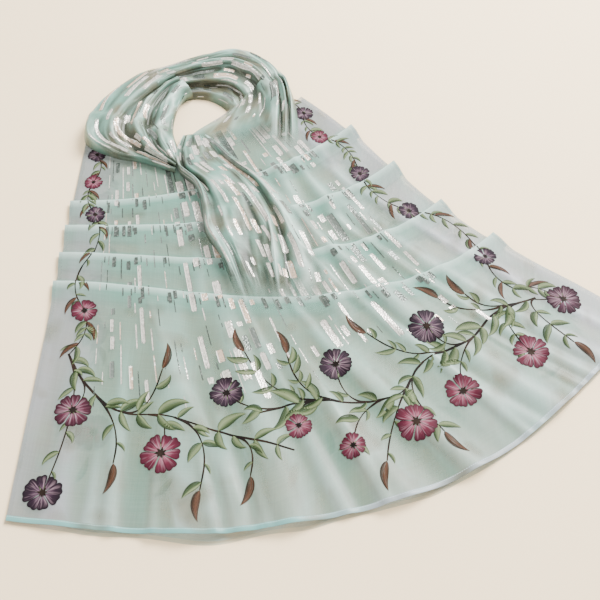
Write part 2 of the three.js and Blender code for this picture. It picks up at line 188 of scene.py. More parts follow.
# Gathered stretches. inner and outer are points of the two sides, and part is the span of those points that
# is made. Each line of lines runs along a fold or a hollow. It has its shade, from -1 on a bright crest to 1
# in a dark hollow, then its share across and its height over what it rests on, at each point. Where a fade or
# a sink reaches 1, the cloth is gone, or lies that much lower.
STRETCHES = {
    "loop_left": {
        "foil_end": 0.92,
        "pleat": 1.8,
        "inner": ((-297, 240), (-303, 275), (-318, 318), (-326, 358), (-320, 400), (-303, 436), (-276, 446)),
        "outer": ((-302, 206), (-370, 234), (-446, 254), (-512, 300), (-502, 400), (-426, 496), (-346, 532)),
        "part": (0.0, 5.6),
        "lines": (
            (0.7, (0,) * 7, (0,) * 7),
            (0.1, (0.1, 0.05, 0, -0.06, -0.07, -0.05, 0), (8, 15, 23, 28, 29, 28, 26)),
            (-0.8, (0.4, 0.3, 0.17, 0.08, 0.05, 0.1, 0.24), (17, 28, 38, 43, 46, 47, 46)),
            (1, (0.58, 0.5, 0.34, 0.23, 0.2, 0.22, 0.3), (10, 15, 24, 30, 35, 38, 37)),
            (-0.5, (0.68, 0.64, 0.47, 0.36, 0.3, 0.3, 0.38), (18, 25, 37, 43, 47, 48, 46)),
            (1, (0.76, 0.76, 0.6, 0.5, 0.4, 0.34, 0.44), (9, 8, 13, 22, 33, 38, 40)),
            (-0.3, (0.83, 0.84, 0.76, 0.64, 0.49, 0.42, 0.54), (11, 9, 12, 31, 46, 51, 54)),
            (0.35, (0.9, 0.91, 0.88, 0.82, 0.72, 0.7, 0.75), (11, 10, 12, 24, 41, 46, 50)),
            (-0.15, (0.97, 0.97, 0.97, 0.95, 0.93, 0.91, 0.9), (14, 15, 19, 29, 31, 34, 36)),
            (0.5, (1,) * 7, (0,) * 7),
        ),
        "fades": ({"point": (4.9, 5.6), "across": (0.38, 0.5)},),
        "sinks": (),
    },
    "loop_back": {
        "foil_end": 0.95,
        "pleat": 1.8,
        "inner": ((-320, 400), (-303, 436), (-276, 446), (-246, 440), (-218, 422), (-201, 398), (-206, 372)),
        "outer": ((-502, 400), (-426, 496), (-346, 532), (-262, 570), (-182, 586), (-112, 554), (-64, 496)),
        "part": (0.8, 6.0),
        "lines": (
            (0.6, (0,) * 7, (0,) * 7),
            (-0.3, (0.06, 0.08, 0.1, 0.1, 0.12, 0.14, 0.2), (14, 17, 20, 20, 22, 20, 10)),
            (1, (0.16, 0.24, 0.3, 0.3, 0.32, 0.3, 0.34), (16, 17, 18, 15, 18, 18, 10)),
            (-0.4, (0.2, 0.22, 0.26, 0.27, 0.3, 0.34, 0.44), (30, 33, 36, 37, 38, 36, 22)),
            (1, (0.32, 0.36, 0.46, 0.48, 0.53, 0.52, 0.58), (30, 34, 38, 39, 40, 32, 22)),
            (-0.4, (0.4, 0.4, 0.5, 0.54, 0.6, 0.62, 0.68), (44, 50, 53, 55, 55, 52, 40)),
            (0.3, (0.5, 0.52, 0.62, 0.66, 0.7, 0.72, 0.76), (42, 47, 50, 51, 52, 50, 42)),
            (-0.4, (0.72, 0.7, 0.75, 0.78, 0.82, 0.82, 0.84), (41, 46, 50, 52, 54, 52, 42)),
            (0, (0.93, 0.91, 0.9, 0.92, 0.93, 0.93, 0.94), (31, 34, 36, 36, 36, 36, 30)),
            (0.5, (1,) * 7, (0,) * 7),
        ),
        "fades": (),
        "sinks": ({"point": (1.9, 1.0), "depth": 1.5}, {"point": (5.4, 6.0), "depth": 6}),
    },
    "loop_right": {
        "foil_end": 0.5,
        "pleat": 1.6,
        "inner": ((-197, 394), (-216, 377), (-240, 355), (-264, 333), (-284, 310), (-292, 285)),
        "outer": ((-77, 514), (-58, 470), (-46, 424), (-39, 356), (-38, 292), (-34, 235)),
        "part": (0.0, 5.0),
        "lines": (
            (-0.4, (0,) * 6, (6, 4, 4, 4, 3, 2)),
            (0, (0.16, 0.2, 0.2, 0.2, 0.2, 0.2), (15, 11, 8, 5, 3, 2)),
            (0.1, (0.34, 0.4, 0.42, 0.42, 0.42, 0.42), (27, 21, 13, 7, 4, 2)),
            (0.5, (0.52, 0.6, 0.64, 0.64, 0.62, 0.6), (36, 26, 13, 6, 3, 2)),
            (-0.7, (0.67, 0.76, 0.78, 0.78, 0.78, 0.78), (44, 38, 26, 12, 5, 2)),
            (1, (0.72, 0.8, 0.815, 0.82, 0.83, 0.84), (38, 29, 15, 6, 3, 2)),
            (-0.7, (0.8, 0.865, 0.875, 0.875, 0.88, 0.88), (47, 41, 28, 12, 5, 2)),
            (1, (0.85, 0.9, 0.905, 0.905, 0.91, 0.92), (39, 30, 16, 6, 3, 2)),
            (-0.6, (0.93, 0.95, 0.95, 0.945, 0.95, 0.96), (40, 35, 25, 10, 4, 2)),
            (0.3, (1,) * 6, (0,) * 6),
        ),
        "fades": ({"point": (0.6, 0.0), "across": (0.66, 0.8)}, {"point": (2.4, 4.4), "share": (0.05, 0.2)}),
        "sinks": (),
    },
    "centre_drape": {
        "foil_end": 0.85,
        "pleat": 0.8,
        "inner": (
            (-292, 320), (-293, 262), (-272, 208), (-241, 160), (-220, 98),
            (-198, 34), (-168, -26), (-144, -92), (-118, -158),
        ),
        "outer": (
            (-243, 328), (-212, 284), (-172, 226), (-128, 168), (-92, 100),
            (-60, 36), (-26, -34), (-2, -100), (14, -160),
        ),
        "part": (0.0, 8.0),
        "lines": (
            (0.9, (-0.1, -0.16, -0.22, -0.12, -0.14, -0.2, -0.16, -0.16, -0.16), (0,) * 9),
            (
                -0.8,
                (-0.06, -0.12, -0.19, -0.08, -0.07, -0.15, -0.13, -0.09, -0.1),
                (3, 16, 26, 29, 29, 28, 25, 16, 5),
            ),
            (
                (0.5, 1, 1, 1, 0.6, 0.1, 0, 0.2, 0.3),
                (0.02, -0.02, -0.1, 0.02, 0.05, 0, 0, 0, 0),
                (2, 6, 9, 11, 19, 24, 21, 12, 3),
            ),
            (
                (0, 0, -0.3, -0.3, -0.3, -0.1, 0.2, 0.3, 0.3),
                (0.12, 0.1, 0.02, 0.14, 0.2, 0.14, 0.1, 0.12, 0.1),
                (3, 14, 22, 24, 25, 26, 20, 11, 3),
            ),
            (
                (0.2, 0.1, 0.1, 0, 0.1, 0.2, 0.4, 0.3, 0.2),
                (0.4, 0.4, 0.4, 0.45, 0.48, 0.45, 0.3, 0.26, 0.22),
                (3, 14, 20, 22, 21, 18, 13, 8, 2),
            ),
            (
                (0.2, 0.2, 0.2, 0.2, 0.1, 0, 0.1, 0.1, 0.1),
                (0.62, 0.64, 0.66, 0.7, 0.72, 0.7, 0.5, 0.42, 0.34),
                (2, 12, 18, 19, 19, 21, 18, 12, 3),
            ),
            (
                (-0.1, -0.1, -0.2, -0.3, -0.5, -0.8, -0.8, -0.7, -0.5),
                (0.7, 0.72, 0.76, 0.82, 0.84, 0.76, 0.59, 0.47, 0.38),
                (2, 10, 15, 16, 19, 27, 26, 18, 5),
            ),
            (
                (0.3, 0.6, 0.8, 1, 1, 1, 1, 0.7, 0.4),
                (0.78, 0.82, 0.86, 0.96, 0.98, 0.9, 0.74, 0.6, 0.5),
                (1, 7, 9, 9, 8, 7, 7, 5, 2),
            ),
            (-0.7, (0.86, 0.9, 0.94, 1.04, 1.08, 1.04, 0.94, 0.8, 0.66), (2, 12, 20, 23, 24, 22, 17, 9, 3)),
            (0, (1, 1.1, 1.16, 1.26, 1.32, 1.3, 1.2, 1.1, 1), (1, 2, 3, 4, 4, 4, 3, 2, 1)),
        ),
        "fades": (
            {"point": (5.8, 8.0), "share": (-0.4, -0.3)},
            {"point": (-0.2, -0.1), "share": (0.91, 1.0)},
        ),
        "sinks": (),
    },
}

# Finer sizes, which the solids don't have.
FAN_COLUMNS = 270
PANEL_STEP = 4.2  # spacing of rows down the fan
FOLD_TURN = 5  # rows round each folded edge
STRETCH_COLUMNS = 150
STRETCH_STEP = 3.4
RIPPLE = {"count": 22, "length": 150, "height": 0.6, "small_height": 0.35}  # shallow ripples down the fan
# Small pleats of the gathered cloth: how many for each fold line, their length, the share of the cloth
# without them at each side, and how they shrink where a fold is lower than a height.
PLEAT = {"count": 1.4, "length": 85, "plain": 0.1, "low_fold": 20, "least": 0.15}
DEEPEST = -3  # how far a pleat may dip below what the cloth rests on
LIFT = {"edge": 0.12, "stem": 0.3, "leaf": 0.42, "petal": 0.55, "core": 0.75, "foil": 0.35}
UNDER_COLUMNS, UNDER_ROWS = 140, 120
# Places where the hem of the layers beneath hangs out further.
HEM_DIPS = (
    {"angle": 5.5, "width": 1.8, "reach": 4},
    {"angle": 12.6, "width": 2.6, "reach": 11},
    {"angle": 18.2, "width": 1.6, "reach": 6},
    {"angle": 26.0, "width": 1.5, "reach": 4},
)
# Layers that show under the fan: height, reach past the fan, and how far they follow its folds.
UNDER_LAYERS = {
    "folded_cloth_lower": {"height": 0.5, "reach": 3.5, "follow": 0.0},
    "folded_cloth_upper": {"height": 2.6, "reach": -1.5, "follow": 0.25},
}
# Where the fan's dye fades, where painted shade lies in its folds, tucks and warm streaks, and where painted
# highlights lie on its folded edges: distances and shares.
BORDER = {"plain": 30, "left": 110, "right": 150, "hem": 240, "hem_share": 0.35}
HOLLOW = {"reach": 42, "crease": 1.5, "crease_level": 2, "depth": 4.8}
TUCK_SHADE = {"above": 12, "bare": 10, "below": 60, "edge_bare": 1, "edge": 8}
STREAKS = {"count": 36, "length": 240, "least": 0.1, "range": 0.6, "amount": 0.8, "start": 1180, "rise": 160}
WANDER = {"count": 30, "length": 45, "amount": 0.5}  # how the edges of the warm clouds wander
DEPTHS = {"tuck": 0.66, "low": 0.44, "hidden": 0.2, "shade_haze": 0.32}
FAR = 1e6  # further than anything lies


# ---- small helpers ----


def smooth(share):
    """Eased step from 0 to 1."""
    share = np.clip(share, 0, 1)
    return share * share * (3 - 2 * share)


def mix(a, b, share):
    return a + (b - a) * share


def along(values, share):
    """Smooth value at shares from 0 to 1 along evenly spaced numbers or points."""
    values = np.array(values, float)
    last = len(values) - 1
    place = np.clip(share, 0, 1) * last
    start = np.minimum(np.floor(place).astype(int), last - 1)
    t = place - start
    if values.ndim > 1:
        t = t[..., None]
    a, b, c, d = (values[np.clip(start + k, 0, last)] for k in (-1, 0, 1, 2))
    return b + 0.5 * t * (c - a + t * (2 * a - 5 * b + 4 * c - d + t * (3 * (b - c) + d - a)))


def radius_at(table, angle):
    """Smooth radius at an angle, from a table of angles and radii."""
    angles, radii = np.array(table["angle"], float), np.array(table["radius"], float)
    slopes = np.gradient(radii, angles)
    slopes[1:-1] = (radii[2:] - radii[:-2]) / (angles[2:] - angles[:-2])
    i = np.clip(np.searchsorted(angles, angle), 1, len(angles) - 1)
    span = angles[i] - angles[i - 1]
    t = np.clip((angle - angles[i - 1]) / span, 0, 1)
    leaving = (t**3 - 2 * t**2 + t) * slopes[i - 1]
    arriving = (t**3 - t**2) * slopes[i]
    return mix(radii[i - 1], radii[i], smooth(t)) + span * (leaving + arriving)


def soft_noise(x, y, seed):
    """Smooth noise from -1 to 1, one bump for each unit of x and y, the same for the same seed."""
    cells = 64
    table = np.random.RandomState(seed).uniform(-1, 1, (cells, cells))
    x, y = np.broadcast_arrays(np.asarray(x, float), np.asarray(y, float))
    i, j = np.floor(x).astype(int), np.floor(y).astype(int)
    u, v = smooth(x - i), smooth(y - j)
    corner = [[table[(i + a) % cells, (j + b) % cells] for b in (0, 1)] for a in (0, 1)]
    return mix(mix(corner[0][0], corner[1][0], u), mix(corner[0][1], corner[1][1], u), v)


def linear(hex_colour):
    """Linear red, green and blue of an sRGB hex colour."""
    channels = [int(hex_colour[i : i + 2], 16) / 255 for i in (0, 2, 4)]
    return tuple(c / 12.92 if c <= 0.04045 else ((c + 0.055) / 1.055) ** 2.4 for c in channels)


# ---- shape of the fan ----


def fan_angle(radius):
    off = np.clip(np.abs(radius - FAN["waist_radius"]) / FAN["waist_reach"], 0, 1)
    return FAN["angle"] - FAN["waist"] * np.cos(off * math.pi / 2) ** 2


def arc_length(radius):
    return np.radians(fan_angle(radius)) * radius


def hem_radius(across):
    return radius_at(HEM, across * FAN["angle"])


def upper_radius(across):
    return radius_at(UPPER_EDGE, across * FAN["angle"])


def tuck_radius(tuck, across):
    return mix(tuck["left"], tuck["right"], smooth(across))


def corner_reach(across, below):
    """How far a panel's corner sticks out past the fan's side, at a distance below its tuck."""
    left = -TUCK_CORNER["left"] * smooth(1 - across / TUCK_CORNER["share"])
    right = TUCK_CORNER["right"] * smooth(1 - (1 - across) / TUCK_CORNER["share"])
    return (left + right) * (1 - smooth(below / TUCK_CORNER["length"]))


def fan_place(across, radius):
    """Pattern coordinates of a place on the fan, as an array of points."""
    angle = np.radians(across * fan_angle(radius))
    x = FAN["apex"][0] + radius * np.sin(angle)
    y = FAN["apex"][1] - radius * np.cos(angle)
    return np.stack([x, y], -1)


def fan_coordinates(points):
    """Share across the fan and radius of points, the reverse of fan_place."""
    dx, dy = points[..., 0] - FAN["apex"][0], FAN["apex"][1] - points[..., 1]
    radius = np.hypot(dx, dy)
    return np.arctan2(dx, dy) / np.radians(fan_angle(radius)), radius


def ridges(table, across, radius):
    """Height of a table of soft ridges at places on the fan."""
    total = 0
    for fold in table:
        start, end = fold["radius"]
        share = (radius - start) / (end - start)
        off = np.radians(across * fan_angle(radius) - mix(*fold["angle"], share)) * radius
        width = mix(*fold["width"], np.clip(share, 0, 1))
        rise = smooth((radius - start + FOLD_START) / (2 * FOLD_START))
        ends_short = end < hem_radius(across) - FOLD_END["clearance"]
        fade = np.where(ends_short, 1 - smooth((radius - end) / FOLD_END["length"]), 1)
        height = mix(*fold["height"], np.clip(share, 0, 1)) * rise * fade
        total = total + height * np.exp(-((off / width) ** 2))
    return total


def crease_height(across, radius):
    """Fine creases of the fan: the lesser ridges, and shallow ripples that run down the cloth."""
    x, y = across * RIPPLE["count"], radius / RIPPLE["length"]
    large, small = soft_noise(x, y, 11), soft_noise(x * 2.3, y * 2.1, 12)
    ripples = RIPPLE["height"] * (1 + large) + RIPPLE["small_height"] * small
    return ridges(CREASES, across, radius) + np.maximum(ripples, 0)


def panel_height(across, radius):
    """How much the top layer of cloth is raised by the tucks."""
    height = np.zeros(np.broadcast(across, radius).shape)
    folds = [tuck_radius(tuck, across) for tuck in TUCKS] + [hem_radius(across)]
    for fold, following in zip(folds, folds[1:]):
        start = fold + TUCK_DEPTH + LAYER
        fall = smooth((radius - start) / np.minimum(TUCK_RISE, following - start))
        height = np.where(radius >= fold - LAYER / 2, TUCK_STACK * (1 - fall), height)
    return height


def cloth_height(points):
    """Height of the top layer of the fan at points of the pattern."""
    across, radius = fan_coordinates(points)
    side = np.clip(across, 0, 1)
    lift = panel_height(side, radius) + ridges(FOLDS, side, radius) + crease_height(side, radius)
    return FAN_REST + lift


def under_height(points):
    """Height of the upper hidden layer at points of the pattern."""
    layer = UNDER_LAYERS["folded_cloth_upper"]
    return layer["height"] + layer["follow"] * ridges(FOLDS, *fan_coordinates(points))


def fan_section(across):
    """Rows of the fan's middle surface from its upper edge to its hem, at each share across.

    Each row has the radius, the height over the flat cloth, the direction of its upper face as out and up,
    and its reach sideways. A tuck is an S of three layers, with the panel on the hem's side on top.
    """
    rows = []
    flat = 0 * across
    start, start_height, fold = upper_radius(across), flat, flat - FAR
    hem = hem_radius(across)
    ends = [tuck_radius(tuck, across) for tuck in TUCKS] + [hem]
    for number, end in enumerate(ends):
        count = max(4, int(np.max(end - start) / PANEL_STEP))
        for i in range(count + 1):
            radius = mix(start, end, i / count)
            fall = smooth((radius - start) / np.minimum(TUCK_RISE, end - start))
            reach = corner_reach(across, radius - fold)
            rows.append((radius, start_height * (1 - fall), 0, 1, reach))
        if number == len(TUCKS):
            break
        fold, under = end, end + TUCK_DEPTH
        rows.append((mix(end, under, 0.5), flat, 0, 1, corner_reach(across, TUCK_DEPTH / 2)))
        for level, centre, way in ((0, under, 1), (LAYER, end, -1)):
            reach = corner_reach(across, centre - fold)
            for turn in np.linspace(0, math.pi, FOLD_TURN):
                height = level + LAYER / 2 * (1 - math.cos(turn)) + flat
                radius = centre + way * LAYER / 2 * math.sin(turn)
                rows.append((radius, height, -math.sin(turn), way * math.cos(turn), reach))
        rows.append((mix(end, under, 0.5), TUCK_STACK + flat, 0, 1, corner_reach(across, TUCK_DEPTH / 2)))
        start, start_height = under + LAYER, TUCK_STACK + flat
    return rows


def fan_grid(nominal, inset, lift=0.0, rows_of=fan_section):
    """Points of the fan, as columns of rows. inset is the length of cloth from the nominal share across."""
    columns = []
    rows = rows_of(nominal)
    for radius, height, out, up, reach in rows:
        across = nominal + inset / arc_length(radius)
        place = fan_place(across + reach / arc_length(radius), radius + out * lift)
        relief = ridges(FOLDS, across, radius) + crease_height(across, radius)
        level = FAN_REST + height + relief + up * lift
        columns.append(np.concatenate([place, level[:, None]], 1))
    radii = np.stack([row[0] for row in rows], 1)
    return np.stack(columns, 1), radii


# ---- shape of the gathered stretches ----


def rest_height(points):
    """Height of what a point of a stretch rests on: the surface below, or the fan with its tucks."""
    across, radius = fan_coordinates(points)
    side = np.clip(across, 0, 1)
    on_fan = smooth((radius - upper_radius(side) + FAN_LEAD["start"]) / FAN_LEAD["length"])
    on_tucks = smooth((radius - tuck_radius(TUCKS[0], side) + TUCK_LEAD["start"]) / TUCK_LEAD["length"])
    flat = mix(0, OVER_FAN + ridges(FOLDS, side, radius) + crease_height(side, radius), on_fan)
    return flat + TUCK_STACK * on_tucks


def eased(value, span):
    """0 before a span's first number and 1 past its second, whichever of them is the greater."""
    return smooth((value - span[0]) / (span[1] - span[0]))


def stretch_grid(name):
    """Points of a gathered stretch as columns of rows, with the shade and the open share of each."""
    stretch = STRETCHES[name]
    seed = 40 + 10 * list(STRETCHES).index(name)
    middle = (np.array(stretch["inner"]) + np.array(stretch["outer"])) / 2
    length = np.linalg.norm(np.diff(middle, axis=0), axis=1).sum()
    point = np.linspace(*stretch["part"], int(length / STRETCH_STEP) + 1)
    way = point / (len(middle) - 1)
    share = np.linspace(0, 1, STRETCH_COLUMNS + 1)
    shades, *places = zip(*stretch["lines"])
    across, height = (along([along(line, way) for line in lines], share) for lines in places)
    shade = along([along(np.full(len(middle), line), way) for line in shades], share)
    inner, outer = along(stretch["inner"], way), along(stretch["outer"], way)
    points = mix(inner, outer, across[..., None])
    edge = (smooth(share / PLEAT["plain"]) * smooth((1 - share) / PLEAT["plain"]))[:, None]
    pleat, run = share[:, None] * len(shades), way[None, :] * length / PLEAT["length"]
    fine = 0
    for order in (1, 2):
        ripple = soft_noise(pleat * PLEAT["count"] * order, run * order + pleat * 0.3, seed + order)
        fine = fine + (1 - 3 * np.abs(ripple)) / order
    height = height + stretch["pleat"] * fine * edge * np.clip(height / PLEAT["low_fold"], PLEAT["least"], 1)
    for sink in stretch["sinks"]:
        height = height - sink["depth"] * eased(point, sink["point"])[None, :]
    opened = 0 * across
    for fade in stretch["fades"]:
        side = eased(across, fade["across"]) if "across" in fade else eased(share, fade["share"])[:, None]
        opened = np.maximum(opened, eased(point, fade["point"])[None, :] * side)
    level = rest_height(points) + WALL / 2 + np.maximum(height, DEEPEST)
    level = np.maximum(level, WALL / 4)
    # The small pleats add painted shade in their dips and a painted highlight on their ridges.
    shade = np.clip(shade + 0.1 - 0.4 * fine * edge, -1, 1)
    return np.concatenate([points, level[..., None]], -1), shade, opened


def grid_sizes(points):
    """Greatest width and length along a grid of points, and its area, in metres."""
    down = np.diff(points, axis=1)
    over = np.diff(points, axis=0)
    area = np.linalg.norm(np.cross(down[:-1], over[:, :-1]), axis=-1).sum()
    width = np.linalg.norm(over, axis=-1).sum(0)
    length = np.linalg.norm(down, axis=-1).sum(1)
    return width.max() * MM, length.max() * MM, area * MM * MM


def grid_at(points, columns, rows):
    """Points of a grid at shares of its columns and rows, with the direction of its upper face."""
    last_column, last_row = points.shape[0] - 1, points.shape[1] - 1
    x, y = np.clip(columns, 0, 1) * last_column, np.clip(rows, 0, 1) * last_row
    i = np.minimum(x.astype(int), last_column - 1)
    j = np.minimum(y.astype(int), last_row - 1)
    u, v = (x - i)[..., None], (y - j)[..., None]
    a, b, c, d = points[i, j], points[i + 1, j], points[i, j + 1], points[i + 1, j + 1]
    normal = np.cross(mix(b - a, d - c, v), mix(c - a, d - b, u))
    size = np.linalg.norm(normal, axis=-1, keepdims=True)
    normal = normal / np.maximum(size, 1e-9)
    return mix(mix(a, b, u), mix(c, d, u), v), np.where(normal[..., 2:] < 0, -normal, normal)


# ---- meshes ----


def make_piece(name, vertices, faces, material, values, parent=None):
    """A named mesh object from pattern coordinates, with a value of each kind at every vertex."""
    mesh = bpy.data.meshes.new(name)
    moved = (np.asarray(vertices, float) - np.array([*CENTRE, 0])) * MM
    mesh.from_pydata(moved.tolist(), [], faces.tolist())
    for key, numbers in values.items():
        numbers = np.asarray(numbers, np.float32)
        kind = "FLOAT_VECTOR" if numbers.ndim > 1 else "FLOAT"
        layer = mesh.attributes.new(key, kind, "POINT")
        layer.data.foreach_set("vector" if numbers.ndim > 1 else "value", numbers.ravel())
    mesh.shade_smooth()
    mesh.materials.append(material)
    piece = bpy.data.objects.new(name, mesh)
    bpy.context.scene.collection.objects.link(piece)
    if parent:
        piece.parent = parent
    return piece


def grid_faces(columns, rows):
    """Faces of a grid of vertices, turned up where columns go right and rows go down."""
    i, j = np.meshgrid(np.arange(columns - 1), np.arange(rows - 1), indexing="ij")
    corner = (i * rows + j).ravel()
    return np.stack([corner, corner + 1, corner + rows + 1, corner + rows], 1)


class Patches:
    """Small grids collected into one mesh, with their values."""

    def __init__(self):
        self.vertices, self.faces, self.count = [], [], 0
        self.values = {"along": [], "side": [], "tone": [], "seed": []}

    def add(self, points, tone, seed):
        """Adds a grid of points. along runs over its columns and side, from -1 to 1, over its rows."""
        columns, rows = points.shape[:2]
        self.faces.append(grid_faces(columns, rows) + self.count)
        self.vertices.append(points.reshape(-1, 3))
        self.count += columns * rows
        way, side = np.meshgrid(np.linspace(0, 1, columns), np.linspace(-1, 1, rows), indexing="ij")
        for key, numbers in (("along", way), ("side", side)):
            self.values[key].append(numbers.ravel())
        for key, number in (("tone", tone), ("seed", seed)):
            self.values[key].append(np.full(columns * rows, number))

    def make(self, name, material, parent, jump=FAR):
        """One mesh object from all the grids, without the faces that jump up by more than a height."""
        values = {key: np.concatenate(parts) for key, parts in self.values.items()}
        vertices, faces = np.concatenate(self.vertices), np.concatenate(self.faces)
        faces = faces[np.ptp(vertices[faces, 2], axis=1) < jump]
        return make_piece(name, vertices, faces, material, values, parent)


# ---- materials ----


def add_node(tree, kind, *values, output=None, stops=(), inputs=None, **settings):
    """Adds a shader node with its settings and links, and returns one of its outputs.

    Each value is a number, a colour, or an output that is linked. values go to the inputs that the settings
    leave in use, in order, and inputs go to those that they name. stops are a ramp's places and colours.
    """
    node = tree.nodes.new("ShaderNode" + kind)
    node.location = (190 * (len(tree.nodes) % 9), -240 * (len(tree.nodes) // 9))
    for name, value in settings.items():
        setattr(node, name, value)
    in_use = [socket for socket in node.inputs if socket.enabled]
    named = [(node.inputs[key], value) for key, value in (inputs or {}).items()]
    for socket, value in [*zip(in_use, values), *named]:
        if isinstance(value, bpy.types.NodeSocket):
            tree.links.new(value, socket)
        else:
            socket.default_value = (*value, 1) if socket.type == "RGBA" else value
    if stops:
        bar = node.color_ramp.elements
        while len(bar) < len(stops):
            bar.new(0.5)
        for element, (place, colour) in zip(bar, stops):
            element.position = place
            element.color = (*colour, 1)
    return node.outputs[output] if output else next(socket for socket in node.outputs if socket.enabled)


def start_material(name, **sockets):
    """A new material with its Principled shader and the shader's own values."""
    material = bpy.data.materials.new(name)
    material.use_nodes = True
    shader = material.node_tree.nodes["Principled BSDF"]
    for key, value in sockets.items():
        shader.inputs[key.replace("_", " ")].default_value = value
    return material, material.node_tree, shader


def lay_over(tree, colour, layers):
    """A colour with layers laid over it, each with the share that it covers, its strength and its colour."""
    for share, strength, over in layers:
        cover = add_node(tree, "Math", share, strength, operation="MULTIPLY")
        colour = add_node(tree, "Mix", cover, colour, over, data_type="RGBA")
    return colour


def organza(name, cloth, dye, veil, gloss=0.42):
    """Silk organza, plain woven from fine twisted filament and finished crisp.

    It gives the eye a pale veil with a soft gloss, cool and warm clouds of random tone, and more colour
    wherever layers lie over each other. On that it paints shade: a warm grey in the hazes and a deep colour
    in folds and hollows, and it paints highlights on crests. dye is the colours of the middle, of the border
    and of the painted shade in the hollows, and veil is how much one layer covers when it lies open and when
    it is folded.
    """
    sockets = {"Roughness": gloss, "Specular_IOR_Level": 0.35, "Sheen_Weight": 0.06, "Sheen_Roughness": 0.45}
    material, tree, shader = start_material(name, **sockets)
    place = add_node(tree, "Attribute", attribute_name="cloth", output="Vector")
    tint, depth, crest, shade_haze, opened = [
        add_node(tree, "Attribute", attribute_name=key, output="Fac")
        for key in ("tint", "depth", "crest", "shade_haze", "open")
    ]
    threads = []
    # Real threads lie 0.25 mm apart. These slubs are drawn 3 mm apart, so that they show.
    for spacing in ((1 / 3, 1 / 160, 1), (1 / 160, 1 / 3, 1)):
        stretched = add_node(tree, "Mapping", inputs={"Vector": place, "Scale": spacing})
        noise = {"Vector": stretched, "Scale": 1.0, "Detail": 2.0, "Roughness": 0.6}
        threads.append(add_node(tree, "TexNoise", inputs=noise))
    thread = add_node(tree, "Math", *threads, operation="ADD")
    cloud = add_node(tree, "TexNoise", inputs={"Vector": place, "Scale": 1 / 90, "Detail": 1.5})
    drift = add_node(tree, "Math", cloud, 4.5, -2.2, operation="MULTIPLY_ADD", use_clamp=True)
    # warm is random cloud tone together with the painted shade of the hazes; it lays warm grey and thins the
    # veil.
    warm = add_node(tree, "Math", drift, shade_haze, operation="MAXIMUM")
    cool = add_node(tree, "Math", cloud, -4.0, 1.85, operation="MULTIPLY_ADD", use_clamp=True)
    slubs = add_node(tree, "Math", thread, 0.1, -0.09, operation="MULTIPLY_ADD", use_clamp=True)
    middle, border, deep = dye
    # The border's tint, the cool clouds and the weave's slubs are the cloth's own. The warm grey is painted
    # shade, the deep colour is painted shade and the colour of layers over tucks, and the light on crests is
    # a painted highlight.
    layers = (
        (tint, 1.0, border),
        (warm, 0.9, cloth.shade_haze),
        (cool, 0.32, cloth.fresh),
        (depth, 1.0, deep),
        (crest, 0.55, cloth.light),
        (slubs, 1.0, cloth.light),
    )
    tree.links.new(lay_over(tree, middle, layers), shader.inputs["Base Color"])
    sheer, closed = veil
    folded = add_node(tree, "Math", depth, crest, operation="MAXIMUM")
    fuller = add_node(tree, "Math", folded, closed - sheer, sheer, operation="MULTIPLY_ADD")
    thinner = add_node(tree, "Math", warm, -0.16, fuller, operation="MULTIPLY_ADD")
    between = add_node(tree, "Math", thinner, 0.06, operation="SUBTRACT")
    whole = add_node(tree, "Math", thread, 0.06, between, operation="MULTIPLY_ADD", use_clamp=True)
    kept = add_node(tree, "Math", 1.0, opened, operation="SUBTRACT")
    alpha = add_node(tree, "Math", whole, kept, operation="MULTIPLY")
    tree.links.new(alpha, shader.inputs["Alpha"])
    crinkle = add_node(tree, "TexNoise", inputs={"Vector": place, "Scale": 1 / 16, "Detail": 3.0})
    relief = add_node(tree, "Math", thread, 0.03, crinkle, operation="MULTIPLY_ADD")
    bump = add_node(tree, "Bump", inputs={"Height": relief, "Strength": 0.35, "Distance": 0.0014})
    tree.links.new(bump, shader.inputs["Normal"])
    return material


def brush_streaks(tree, fineness, length):
    """Noise drawn out along a painted or printed shape, another for each stroke."""
    side, way, seed = [
        add_node(tree, "Attribute", attribute_name=key, output="Fac") for key in ("side", "along", "seed")
    ]
    scaled = []
    for value, scale in ((side, fineness), (way, length), (seed, 37.0)):
        scaled.append(add_node(tree, "Math", value, scale, operation="MULTIPLY"))
    place = add_node(tree, "CombineXYZ", *scaled)
    noise = {"Vector": place, "Scale": 1.0, "Detail": 2.0, "Roughness": 0.6}
    return add_node(tree, "TexNoise", inputs=noise)


